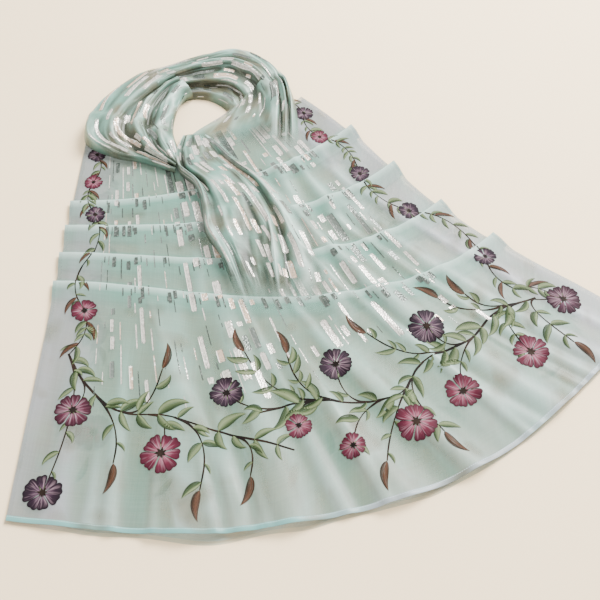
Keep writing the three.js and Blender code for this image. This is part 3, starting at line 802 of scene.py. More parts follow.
def silver_foil(foil):
    """Aluminium foil, pressed on through a brushed stencil.

    It gives the eye hard white painted glints beside grey and champagne ones, with dry, broken ends. Its
    tones paint one foil lit, turned away and in shadow, each bar with a painted lit edge and a painted shaded
    edge;
    champagne is a warmer foil.
    """
    material, tree, shader = start_material("aluminium_foil_stamped", Metallic=0.35, Roughness=0.26)
    side, way, tone = [
        add_node(tree, "Attribute", attribute_name=key, output="Fac") for key in ("side", "along", "tone")
    ]
    # Tones paint one foil in shadow, turned away and in full light; champagne is a warmer foil.
    colours = (foil.shadow, foil.grey, foil.silver, foil.silver, foil.champagne)
    colour = add_node(tree, "ValToRGB", tone, stops=tuple(zip((0.0, 0.25, 0.5, 0.8, 1.0), colours)))
    place = add_node(tree, "TexCoord", output="Object")
    # Real flakes are 0.5 mm. These are drawn 3.6 mm across, so that they show.
    flakes = add_node(tree, "TexVoronoi", inputs={"Vector": place, "Scale": 1 / 0.0036}, output="Color")
    sparkle = add_node(tree, "Math", flakes, 3.0, -1.3, operation="MULTIPLY_ADD", use_clamp=True)
    # shaded paints a shaded edge down one side of each bar, lit paints a lit edge down the other, and glints
    # paint highlights on the brightest flakes.
    shaded = add_node(tree, "Math", side, 5.0, -3.6, operation="MULTIPLY_ADD", use_clamp=True)
    lit = add_node(tree, "Math", side, -5.0, -3.2, operation="MULTIPLY_ADD", use_clamp=True)
    glints = add_node(tree, "Math", flakes, 6.0, -4.4, operation="MULTIPLY_ADD", use_clamp=True)
    brightest = add_node(tree, "Math", lit, glints, operation="MAXIMUM")
    bright = add_node(tree, "Math", brightest, tone, operation="MULTIPLY")
    layers = ((sparkle, 0.55, foil.grey), (shaded, 0.8, foil.shadow), (bright, 1.0, foil.glint))
    tree.links.new(lay_over(tree, colour, layers), shader.inputs["Base Color"])
    streaks = brush_streaks(tree, 3.0, 2.2)
    centred = add_node(tree, "Math", way, 2.0, -1.0, operation="MULTIPLY_ADD")
    ends = add_node(tree, "Math", centred, operation="ABSOLUTE")
    tips = add_node(tree, "Math", ends, 8.0, operation="POWER")
    worn = add_node(tree, "Math", tips, 0.3, operation="MULTIPLY")
    covered = add_node(tree, "Math", streaks, worn, operation="SUBTRACT")
    alpha = add_node(tree, "Math", covered, 12.0, -3.2, operation="MULTIPLY_ADD", use_clamp=True)
    tree.links.new(alpha, shader.inputs["Alpha"])
    height = flakes.node.outputs["Distance"]
    bump = add_node(tree, "Bump", inputs={"Height": height, "Strength": 0.5, "Distance": 0.0012})
    tree.links.new(bump, shader.inputs["Normal"])
    return material


def painted_petals(vine):
    """Fabric paint laid on with a round brush, from the rim of each petal to its heart.

    It gives the eye matte plum and rose petals with pale strokes that run to a light heart.
    """
    material, tree, shader = start_material("fabric_paint_petals", Roughness=0.7, Specular_IOR_Level=0.12)
    side, way, tone = [
        add_node(tree, "Attribute", attribute_name=key, output="Fac") for key in ("side", "along", "tone")
    ]
    plum_stops = ((0.0, vine.stem), (0.16, vine.plum_light), (0.55, vine.plum), (1.0, vine.plum_dark))
    rose_stops = ((0.0, vine.stem), (0.16, vine.rose_light), (0.55, vine.rose), (1.0, vine.rose_dark))
    plum = add_node(tree, "ValToRGB", way, stops=plum_stops)
    rose = add_node(tree, "ValToRGB", way, stops=rose_stops)
    streaks = brush_streaks(tree, 3.4, 0.7)
    stroke = add_node(tree, "Math", streaks, 5.0, -2.5, operation="MULTIPLY_ADD", use_clamp=True)
    outward = add_node(tree, "Math", way, -1.05, 1.0, operation="MULTIPLY_ADD", use_clamp=True)
    light = add_node(tree, "Math", stroke, outward, operation="MULTIPLY")
    off_middle = add_node(tree, "Math", side, operation="ABSOLUTE")
    rim = add_node(tree, "Math", off_middle, 3.2, -2.5, operation="MULTIPLY_ADD", use_clamp=True)
    layers = ((tone, 1.0, rose), (light, 1.0, vine.heart), (rim, 1.0, vine.plum_dark))
    tree.links.new(lay_over(tree, plum, layers), shader.inputs["Base Color"])
    bump = add_node(tree, "Bump", inputs={"Height": streaks, "Strength": 0.3, "Distance": 0.0005})
    tree.links.new(bump, shader.inputs["Normal"])
    return material


def painted_leaves(vine):
    """Fabric paint laid on in two strokes a leaf, one light and one dark.

    It gives the eye matte sage and olive leaves with a dark rim, and rust brown ones among them.
    """
    material, tree, shader = start_material("fabric_paint_leaves", Roughness=0.7, Specular_IOR_Level=0.12)
    side, tone, seed = [
        add_node(tree, "Attribute", attribute_name=key, output="Fac") for key in ("side", "tone", "seed")
    ]
    over = add_node(tree, "Math", side, 0.5, 0.5, operation="MULTIPLY_ADD")
    sage_stops = ((0.0, vine.leaf_dark), (0.2, vine.leaf), (0.6, vine.leaf_light), (1.0, vine.leaf))
    deep_stops = ((0.0, vine.leaf_dark), (0.55, vine.leaf), (0.8, vine.leaf_light), (1.0, vine.leaf))
    rust_stops = ((0.0, vine.stem), (0.2, vine.rust), (0.6, vine.rust_light), (1.0, vine.rust))
    ramps = (sage_stops, deep_stops, rust_stops)
    sage, deep, rust = [add_node(tree, "ValToRGB", over, stops=stops) for stops in ramps]
    streaks = brush_streaks(tree, 2.6, 1.6)
    stroke = add_node(tree, "Math", streaks, 3.0, -1.3, operation="MULTIPLY_ADD", use_clamp=True)
    layers = ((seed, 0.01, deep), (tone, 1.0, rust), (stroke, 0.45, vine.leaf_dark))
    tree.links.new(lay_over(tree, sage, layers), shader.inputs["Base Color"])
    thin = add_node(tree, "Math", streaks, 1.4, 0.15, operation="MULTIPLY_ADD", use_clamp=True)
    tree.links.new(thin, shader.inputs["Alpha"])
    return material


def painted_stems(vine):
    """Fabric paint drawn on with a liner brush.

    It gives the eye thin matte lines that go from near black to brown as the brush runs dry.
    """
    material, tree, shader = start_material("fabric_paint_stems", Roughness=0.7, Specular_IOR_Level=0.1)
    place = add_node(tree, "TexCoord", output="Object")
    patches = add_node(tree, "TexNoise", inputs={"Vector": place, "Scale": 1 / 0.03})
    dry = add_node(tree, "Math", patches, 3.0, -1.2, operation="MULTIPLY_ADD", use_clamp=True)
    colour = add_node(tree, "Mix", dry, vine.stem, vine.stem_dry, data_type="RGBA")
    tree.links.new(colour, shader.inputs["Base Color"])
    return material


def plaster_floor(stage):
    """Painted plaster board, rolled smooth. It gives the eye an even warm cream that is barely mottled."""
    material, tree, shader = start_material("painted_plaster_board", Roughness=0.8, Specular_IOR_Level=0.2)
    place = add_node(tree, "TexCoord", output="Object")
    mottle = add_node(tree, "TexNoise", inputs={"Vector": place, "Scale": 1 / 0.35, "Detail": 4.0})
    colour = lay_over(tree, stage.floor, ((mottle, 0.5, stage.floor_shade),))
    tree.links.new(colour, shader.inputs["Base Color"])
    return material


def sewing_thread(cloth):
    """Twisted filament thread. It gives the eye a row of small glossy stitches, lighter than the binding."""
    material, tree, shader = start_material("filament_sewing_thread", Roughness=0.35, Sheen_Weight=0.2)
    place = add_node(tree, "TexCoord", output="Object")
    twist = add_node(tree, "TexNoise", inputs={"Vector": place, "Scale": 1 / 0.0008})
    colour = add_node(tree, "Mix", twist, cloth.thread, cloth.binding, data_type="RGBA")
    tree.links.new(colour, shader.inputs["Base Color"])
    return material


# ---- cloth values ----


def border_tint(across, radius):
    """How far the dye has faded to the border's colour: along both selvedges and a little at the hem."""
    arc = arc_length(radius)
    left = 1 - smooth((across * arc - BORDER["plain"]) / BORDER["left"])
    right = 1 - smooth(((1 - across) * arc - BORDER["plain"]) / BORDER["right"])
    hem = BORDER["hem_share"] * (1 - smooth((hem_radius(across) - radius) / BORDER["hem"]))
    return np.clip(np.maximum(left, right) + hem, 0, 1)


def cloth_values(tint, depth, crest, cloth, open_share=0.0, shade_haze=0.0):
    """The values that the organza materials read, one for each vertex."""
    shape = cloth.shape[:-1]
    spread = {"tint": tint, "depth": depth, "crest": crest, "open": open_share, "shade_haze": shade_haze}
    values = {key: np.broadcast_to(value, shape).ravel() for key, value in spread.items()}
    flat = np.concatenate([cloth, np.zeros((*shape, 1))], -1)
    return {**values, "cloth": flat.reshape(-1, 3)}


def cloth_lengths(points):
    """Distance across and down the cloth at each point of a grid, in millimetres."""
    down = np.linalg.norm(np.diff(points, axis=1), axis=-1)
    down = np.concatenate([np.zeros((len(points), 1)), np.cumsum(down, 1)], 1)
    over = np.linalg.norm(np.diff(points, axis=0), axis=-1)
    over = np.concatenate([np.zeros((1, points.shape[1])), np.cumsum(over, 0)], 0)
    return np.stack([over, down], -1)


# ---- settings ----


def colour_setting(name, description, hex_colour):
    return FloatVectorProperty(
        name=name, description=description, default=linear(hex_colour), subtype="COLOR", size=3, min=0, max=1
    )


def length_setting(name, description, default):
    return FloatProperty(name=name, description=description, default=default, unit="LENGTH", min=0)


def share_setting(name, description, default):
    return FloatProperty(name=name, description=description, default=default, min=0, max=1, subtype="FACTOR")


class SareeCloth(bpy.types.PropertyGroup):
    """Sizes and dyes of the woven cloth."""

    hem_band: length_setting("Hem binding", "Width of the binding along the hem", 0.009)
    selvedge: length_setting("Selvedge", "Width of the woven edge at each side", 0.007)
    stitch: length_setting("Stitch pitch", "Length of one stitch and its gap in the binding", 0.0042)
    mint: colour_setting("Mint", "Dye of the middle of the fan", "7fa095")
    lilac: colour_setting("Lilac", "Faded dye of the borders", "a3a5ae")
    # Partly the deeper colour of layers over each other, partly painted shade in folds and hollows.
    shade: colour_setting("Deep mint", "Colour where folds and layers lie over each other", "57897b")
    gathered: colour_setting("Gathered mint", "Colour of the gathered cloth", "618679")
    # Painted shade deep in the gathered folds.
    hollow: colour_setting("Hollow", "Colour deep in the gathered folds", "1f2c20")
    # Painted shade: a warm grey laid in the fan's hazes and in the hollows of the gathered cloth.
    shade_haze: colour_setting("Haze", "Warm clouds where the surface below shows through", "6e6a56")
    fresh: colour_setting("Fresh mint", "Cool clouds where layers lie close", "7bbcad")
    # Painted highlight on crests and folded edges; it also lightens the slubs of the weave.
    light: colour_setting("Light", "Crests and slubs in full light", "c8e0d9")
    binding: colour_setting("Binding", "Dye of the hem binding", "6da3a1")
    thread: colour_setting("Thread", "Colour of the stitches", "dfecea")
    sheer: share_setting("Veil", "How much one layer of the fan covers", 0.66)
    under_sheer: share_setting("Lower veil", "How much each layer under the fan covers", 0.4)


class SareeFoil(bpy.types.PropertyGroup):
    """Sizes and colours of the foil bars."""

    pitch: length_setting("Pitch", "Spacing of the lines of bars across the cloth", 0.0155)
    # Painted highlight on the lit edges and brightest flakes.
    glint: colour_setting("Glint", "Lit edge of a bar", "fbf8f2")
    # Painted light: the foil as lit.
    silver: colour_setting("Silver", "Foil in full light", "c9c4bc")
    # Painted shade: the foil turned away.
    grey: colour_setting("Grey", "Foil turned away", "6a736e")
    # Painted shadow: the darkest tone of the foil.
    shadow: colour_setting("Shadow", "Foil seen from behind", "2c3833")
    champagne: colour_setting("Champagne", "The warmer foil", "cdb49f")
    seed: IntProperty(name="Seed", description="Number that the layout is drawn from", default=7)


class SareeVine(bpy.types.PropertyGroup):
    """Sizes and paints of the vine."""

    flower: length_setting("Flower", "Width of a flower by the hem", 0.066)
    side_flower: length_setting("Side flower", "Width of a flower near the top of a side border", 0.042)
    heart: colour_setting("Heart", "Pale strokes at a flower's heart", "b095a0")
    plum: colour_setting("Plum", "Plum petals", "231522")
    plum_light: colour_setting("Light plum", "Plum petals near the heart", "463342")
    plum_dark: colour_setting("Dark plum", "Rim of plum petals", "120a12")
    rose: colour_setting("Rose", "Rose petals", "501a2b")
    rose_light: colour_setting("Light rose", "Rose petals near the heart", "7d4656")
    rose_dark: colour_setting("Dark rose", "Rim of rose petals", "330d1a")
    leaf: colour_setting("Leaf", "Sage leaves", "344528")
    leaf_light: colour_setting("Light leaf", "Light stroke of a leaf", "7b8764")
    leaf_dark: colour_setting("Dark leaf", "Dark stroke and rim of a leaf", "16220f")
    rust: colour_setting("Rust", "Brown leaves and buds", "2c170f")
    rust_light: colour_setting("Light rust", "Light stroke of a brown leaf", "523426")
    stem: colour_setting("Stem", "Stems where the brush is full", "120d0c")
    stem_dry: colour_setting("Dry stem", "Stems where the brush runs dry", "2b1f18")
    seed: IntProperty(name="Seed", description="Number that the drawing is varied by", default=3)


class SareeStage(bpy.types.PropertyGroup):
    """Floor, light and camera."""

    floor: colour_setting("Floor", "Floor in full light", "fce5bf")
    floor_shade: colour_setting("Floor mottle", "Darker mottle of the floor", "f8dfb5")
    key: FloatProperty(name="Key light", description="Power of the window light", default=640, unit="POWER")
    fill: FloatProperty(name="Fill", description="Strength of the light from all round", default=1.6)
    view_angle: FloatProperty(
        name="View angle", description="Camera's angle of view", default=math.radians(42), unit="ROTATION"
    )
    pitch: FloatProperty(
        name="Pitch", description="How far the camera looks down", default=math.radians(56), unit="ROTATION"
    )
    camera_place: FloatVectorProperty(
        name="Camera", description="Where the camera stands", default=(-0.083, -0.963, 1.250), subtype="XYZ"
    )


# ---- pieces: stage ----

FLOOR_REACH = 6  # metres from the middle to each side
WINDOW = {"place": (2.0, 2.3, 3.0), "width": 2.2, "height": 1.8, "colour": (1.0, 0.985, 0.96)}
ROOM_COLOUR = (1.0, 0.978, 0.93, 1)


class OBJECT_OT_saree_stage(bpy.types.Operator):
    """Adds the floor, the lights and the camera"""

    bl_idname = "object.saree_stage"
    bl_label = "Stage"

    def execute(self, context):
        stage = context.scene.saree_stage
        data = bpy.data.cameras.new("camera")
        data.angle = stage.view_angle
        data.clip_end = 50
        camera = bpy.data.objects.new("camera", data)
        camera.location = stage.camera_place
        camera.rotation_euler = (math.pi / 2 - stage.pitch, 0, 0)
        context.scene.collection.objects.link(camera)
        context.scene.camera = camera
        mesh = bpy.data.meshes.new("floor")
        corners = [(x * FLOOR_REACH, y * FLOOR_REACH, 0) for x, y in ((-1, -1), (1, -1), (1, 1), (-1, 1))]
        mesh.from_pydata(corners, [], [(0, 1, 2, 3)])
        mesh.materials.append(plaster_floor(stage))
        floor = bpy.data.objects.new("floor", mesh)
        context.scene.collection.objects.link(floor)
        floor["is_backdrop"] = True
        lamp = bpy.data.lights.new("window", "AREA")
        lamp.shape = "RECTANGLE"
        lamp.size, lamp.size_y = WINDOW["width"], WINDOW["height"]
        lamp.energy = stage.key
        lamp.color = WINDOW["colour"]
        window = bpy.data.objects.new("window", lamp)
        window.location = WINDOW["place"]
        aim = -window.location.normalized()
        window.rotation_euler = aim.to_track_quat("-Z", "Y").to_euler()
        context.scene.collection.objects.link(window)
        world = bpy.data.worlds.new("room")
        world.use_nodes = True
        background = world.node_tree.nodes["Background"]
        background.inputs["Color"].default_value = ROOM_COLOUR
        background.inputs["Strength"].default_value = stage.fill
        context.scene.world = world
        return {"FINISHED"}


# ---- pieces: layers under the fan ----


def under_section(reach, across):
    """Rows of a hidden layer: plain cloth with no tucks, that reaches past the fan by a distance."""
    start, end = upper_radius(across) + 4, hem_radius(across) + reach
    for dip in HEM_DIPS:
        end = end + dip["reach"] * np.exp(-(((across * FAN["angle"] - dip["angle"]) / dip["width"]) ** 2))
    sideways = reach * (2 * across - 1)
    return [(mix(start, end, i / UNDER_ROWS), 0 * across, 0, 1, sideways) for i in range(UNDER_ROWS + 1)]


class OBJECT_OT_saree_layers(bpy.types.Operator):
    """Adds the layers of cloth that lie folded flat under the fan"""

    bl_idname = "object.saree_layers"
    bl_label = "Layers beneath"

    def execute(self, context):
        cloth = context.scene.saree_cloth
        dye = (cloth.mint, cloth.lilac, cloth.shade)
        material = organza("silk_organza_folded_flat", cloth, dye, (cloth.under_sheer, 0.85))
        for name, layer in UNDER_LAYERS.items():
            share = np.linspace(0, 1, UNDER_COLUMNS + 1)
            section = functools.partial(under_section, layer["reach"])
            points, radii = fan_grid(share, 0 * share, rows_of=section)
            across = share[:, None] + 0 * radii
            points[..., 2] = layer["height"] + layer["follow"] * ridges(FOLDS, across, radii)
            values = cloth_values(border_tint(across, radii), 0, 0, cloth_lengths(points))
            piece = make_piece(name, points.reshape(-1, 3), grid_faces(*points.shape[:2]), material, values)
            width, length, area = grid_sizes(points)
            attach(piece, BODY)
        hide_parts("folded_body_left", "folded_body_right")
        return {"FINISHED"}


# ---- pieces: the fan ----


def section_marks(rows):
    """Which rows of the fan's section are a folded edge, from 0 to 1, for a painted highlight, and which are
    hidden in a tuck.
    """
    crest, hidden = [], []
    for _, _, out, up, _ in rows:
        crest.append(0.9 * abs(out))
        hidden.append(1.0 if up < 0.5 else 0.0)
    return np.array(crest), np.array(hidden)


def tuck_marks(across, radius):
    """How deep the cloth looks over each tuck's hidden layers, with a painted shadow above its folded edge,
    and the painted highlight on that edge.
    """
    shade, crest = 0 * radius, 0 * radius
    for tuck in TUCKS:
        below = radius - tuck_radius(tuck, across)
        here = below > -LAYER
        above = (1 - here) * smooth(1 + below / TUCK_SHADE["above"])
        over = here * (1 - smooth((below - TUCK_SHADE["bare"]) / TUCK_SHADE["below"]))
        edge = here * (1 - smooth((below - TUCK_SHADE["edge_bare"]) / TUCK_SHADE["edge"]))
        shade = np.maximum(shade, np.maximum(over, above))
        crest = np.maximum(crest, edge)
    return shade, crest


def hollow_share(across, radius):
    """How far each place lies below the cloth on either side of it, up to 1, or above it, down to -1."""
    reach = HOLLOW["reach"] / arc_length(radius)
    height = [ridges(FOLDS, across + side * reach, radius) for side in (-1, -0.5, 0, 0.5, 1)]
    creased = HOLLOW["crease"] * (crease_height(across, radius) - HOLLOW["crease_level"])
    return np.clip((sum(height) / 5 - height[2] - creased) / HOLLOW["depth"], -1, 1)


def shade_haze_share(across, radius):
    """How far the warm clouds of painted shade and its streaks cover each place on the fan, from 0 to 1."""
    total = 0
    wander = WANDER["amount"] * soft_noise(across * WANDER["count"], radius / WANDER["length"], 21)
    for shade_haze in SHADE_HAZES:
        off = np.radians(across * fan_angle(radius) - shade_haze["angle"]) * radius / shade_haze["width"]
        way = (radius - shade_haze["radius"]) / shade_haze["length"]
        total = np.maximum(total, shade_haze["amount"] * np.exp(-((off + wander) ** 2) - way**2))
    noise = soft_noise(across * STREAKS["count"], radius / STREAKS["length"], 22)
    rise = smooth((radius - STREAKS["start"]) / STREAKS["rise"])
    streaks = smooth((noise - STREAKS["least"]) / STREAKS["range"]) * rise
    return np.maximum(total, STREAKS["amount"] * streaks)


def fan_values(points, across, radii, rows):
    crest, hidden = section_marks(rows)
    wide = border_tint(across, radii)
    shade, edge = tuck_marks(across, radii)
    hollow = hollow_share(across, radii)
    low, high = np.clip(hollow, 0, 1), np.clip(-hollow, 0, 1)
    shade_haze = shade_haze_share(across, radii)
    # depth is the deeper colour of the tucks' layers with painted shade: the shadow above each folded edge,
    # low places between folds, rows hidden in a tuck and the warm hazes.
    depth = DEPTHS["tuck"] * shade * (1 - 0.5 * wide) + DEPTHS["low"] * low
    depth = np.clip(depth + DEPTHS["hidden"] * hidden + DEPTHS["shade_haze"] * shade_haze, 0, 1)
    # bright is a painted highlight on folded edges and on places that stand above the cloth beside them.
    bright = np.maximum(np.maximum(crest[None, :], edge), 0.5 * high)
    return cloth_values(wide, depth, bright, cloth_lengths(points), 0.0, np.maximum(low, shade_haze))


def woven_edge(name, nominal, inset, material, replaced, pallu):
    """A woven edge that follows one side of the fan through its tucks."""
    points, radii = fan_grid(nominal, inset, LIFT["edge"])
    rows = fan_section(nominal)
    across = nominal[:, None] + inset[:, None] / arc_length(radii)
    values = fan_values(points, across, radii, rows)
    piece = make_piece(name, points.reshape(-1, 3), grid_faces(*points.shape[:2]), material, values, pallu)
    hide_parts(replaced)


class OBJECT_OT_saree_pallu(bpy.types.Operator):
    """Adds the spread end of the saree with its cross tucks and woven edges"""

    bl_idname = "object.saree_pallu"
    bl_label = "Pallu"

    def execute(self, context):
        cloth = context.scene.saree_cloth
        dye = (cloth.mint, cloth.lilac, cloth.shade)
        material = organza("silk_organza_woven_mint", cloth, dye, (cloth.sheer, 0.93))
        share = np.linspace(0, 1, FAN_COLUMNS + 1)
        points, radii = fan_grid(share, 0 * share)
        across = share[:, None] + 0 * radii
        values = fan_values(points, across, radii, fan_section(share))
        faces = grid_faces(*points.shape[:2])
        pallu = make_piece("pallu_cloth", points.reshape(-1, 3), faces, material, values)
        width, length, area = grid_sizes(points)
        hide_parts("pallu")
        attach(pallu, BODY)
        edge_dye = (cloth.lilac, cloth.lilac, cloth.shade)
        edge = organza("silk_organza_woven_selvedge", cloth, edge_dye, (0.4, 0.8))
        reach = np.linspace(0, cloth.selvedge / MM, 4)
        woven_edge("left_selvedge", 0 * reach, reach, edge, "selvedge_left", pallu)
        woven_edge("right_selvedge", 0 * reach + 1, reach - reach[-1], edge, "selvedge_right", pallu)
        return {"FINISHED"}


BINDING_COLUMNS = 420
BINDING_LIFT = 0.45  # half the thickness of the turned binding
BINDING_FADE = {"start": 0.36, "length": 0.14, "amount": 0.8}  # shares along the hem, left to right


def binding_profile(width):
    """Section of the turned binding: each point's distance back from the hem and its lift off the cloth."""
    turn = np.linspace(math.pi / 2, -math.pi / 2, 5)
    tube = BINDING_LIFT
    over = [(width, 0.25), (width * 0.97, tube), (width / 2, tube)]
    edge = [(tube - tube * math.cos(a), tube * math.sin(a)) for a in turn]
    return over + edge + [(width / 2, -tube), (width, -tube)]


class OBJECT_OT_saree_binding(bpy.types.Operator):
    """Adds the binding turned over the hem, with its row of stitches"""

    bl_idname = "object.saree_binding"
    bl_label = "Hem binding"

    def execute(self, context):
        cloth = context.scene.saree_cloth
        share = np.linspace(0, 1, BINDING_COLUMNS + 1)
        rows = []
        for back, lift in binding_profile(cloth.hem_band / MM):
            rows.append(self.hem_points(share, back, lift))
        points = np.stack(rows, 1)
        dye = (cloth.binding, cloth.lilac, cloth.shade)
        material = organza("silk_organza_folded_binding", cloth, dye, (0.8, 0.97), gloss=0.36)
        fade = smooth((share - BINDING_FADE["start"]) / BINDING_FADE["length"])
        faded = BINDING_FADE["amount"] * fade[:, None]
        values = cloth_values(faded, 0, 0, cloth_lengths(points))
        faces = grid_faces(*points.shape[:2])
        binding = make_piece("turned_binding", points.reshape(-1, 3), faces, material, values)
        width, length, area = grid_sizes(points)
        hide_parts("hem_binding")
        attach(binding, BODY)
        self.add_stitches(context, binding)
        return {"FINISHED"}

    def hem_points(self, share, back, lift):
        radius = hem_radius(share) - back
        place = fan_place(share, radius)
        level = FAN_REST + ridges(FOLDS, share, radius) + crease_height(share, radius) + lift
        return np.concatenate([place, level[:, None]], 1)

    def add_stitches(self, context, binding):
        """Small raised bars along the inner edge of the binding."""
        cloth = context.scene.saree_cloth
        pitch = cloth.stitch / MM
        inset = cloth.hem_band / MM * 0.82
        count = int(arc_length(hem_radius(0.5)) / pitch)
        stitches = Patches()
        for i in range(count):
            share = (i + 0.5 + np.linspace(-0.32, 0.32, 4)) / count
            rows = [self.hem_points(share, inset + w, 0.5 + h) for w, h in ((-0.4, 0), (0, 0.35), (0.4, 0))]
            stitches.add(np.stack(rows, 1), 0.5, i % 7)
        piece = stitches.make("binding_stitches", sewing_thread(cloth), binding)


# ---- pieces: gathered stretches ----

# Warm clouds of the gathered cloth, random tone with painted shade that gathers in the hollows and fades on
# the
# crests: their size, and how much hollows and crests change them.
CLOUDS = {"width": 34, "length": 46, "hollow": 0.5, "crest": 0.4, "amount": 1.3}


class OBJECT_OT_saree_loop(bpy.types.Operator):
    """Adds the gathered stretches of the loop and the drape that falls from it"""

    bl_idname = "object.saree_loop"
    bl_label = "Loop and drape"

    def execute(self, context):
        cloth = context.scene.saree_cloth
        dye = (cloth.gathered, cloth.mint, cloth.hollow)
        material = organza("silk_organza_gathered", cloth, dye, (0.92, 1.0), gloss=0.38)
        for name in STRETCHES:
            points, shade, opened = stretch_grid(name)
            shape = points.shape[:2]
            # depth is painted shade in the hollows and crest a painted highlight on the crests.
            depth, crest = np.clip(shade, 0, 1), np.clip(-shade, 0, 1)
            warm = soft_noise(points[..., 0] / CLOUDS["width"], points[..., 1] / CLOUDS["length"], 31)
            warm = warm + CLOUDS["hollow"] * depth - CLOUDS["crest"] * crest
            shade_haze = np.clip(CLOUDS["amount"] * warm, 0, 1)
            values = cloth_values(0.1 + 0.6 * opened, depth, crest, cloth_lengths(points), opened, shade_haze)
            piece = make_piece(name + "_folds", points.reshape(-1, 3), grid_faces(*shape), material, values)
            width, length, area = grid_sizes(points)
            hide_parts(name)
            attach(piece, BODY)
        return {"FINISHED"}


# ---- pieces: foil ----

BAR_WIDTHS = (1.8, 2.6, 5, 8, 11, 14)
BAR_CHANCES = (0.3, 0.16, 0.1, 0.18, 0.16, 0.1)
GATHERED_BAR_CHANCES = (0.14, 0.12, 0.12, 0.24, 0.22, 0.16)
BAR_LENGTHS = (16, 28, 46, 70, 105)
# Margins at the sides and radii of the lines, and how foil below a tuck gets painted shadow.
FAN_FOIL = {
    "left": 96, "right": 124, "start": 640, "middle": 1100,
    "end": 1215, "end_spread": 45, "end_rise": 110,
}
TUCK_FOIL = {"below": 30, "shaded_bar": 0.7, "comb": 0.45, "comb_shift": 7}


def bar_tone(draw, shaded_bar=False, thin=False):
    """Mostly silver painted in full light, some painted grey as if turned away, some in painted shadow, some
    champagne. Thin bars get painted shadow more often.
    """
    chances = (0.07, 0.17, 0.22, 0.24, 0.16, 0.14)
    if shaded_bar or thin:
        chances = (0.6, 0.2, 0.05, 0.05, 0.05, 0.05) if shaded_bar else (0.34, 0.16, 0.14, 0.16, 0.12, 0.08)
    return draw.choice((0.05, 0.22, 0.5, 0.65, 0.8, 1.0), p=chances)


def brushed_outline(points, draw):
    """Pulls the corners of a bar about, so that its ends look brushed."""
    middle = points[:, points.shape[1] // 2][:, None]
    for end in (0, -1):
        points[end] = mix(points[end], middle[end], draw.uniform(0, 0.25))
    return points


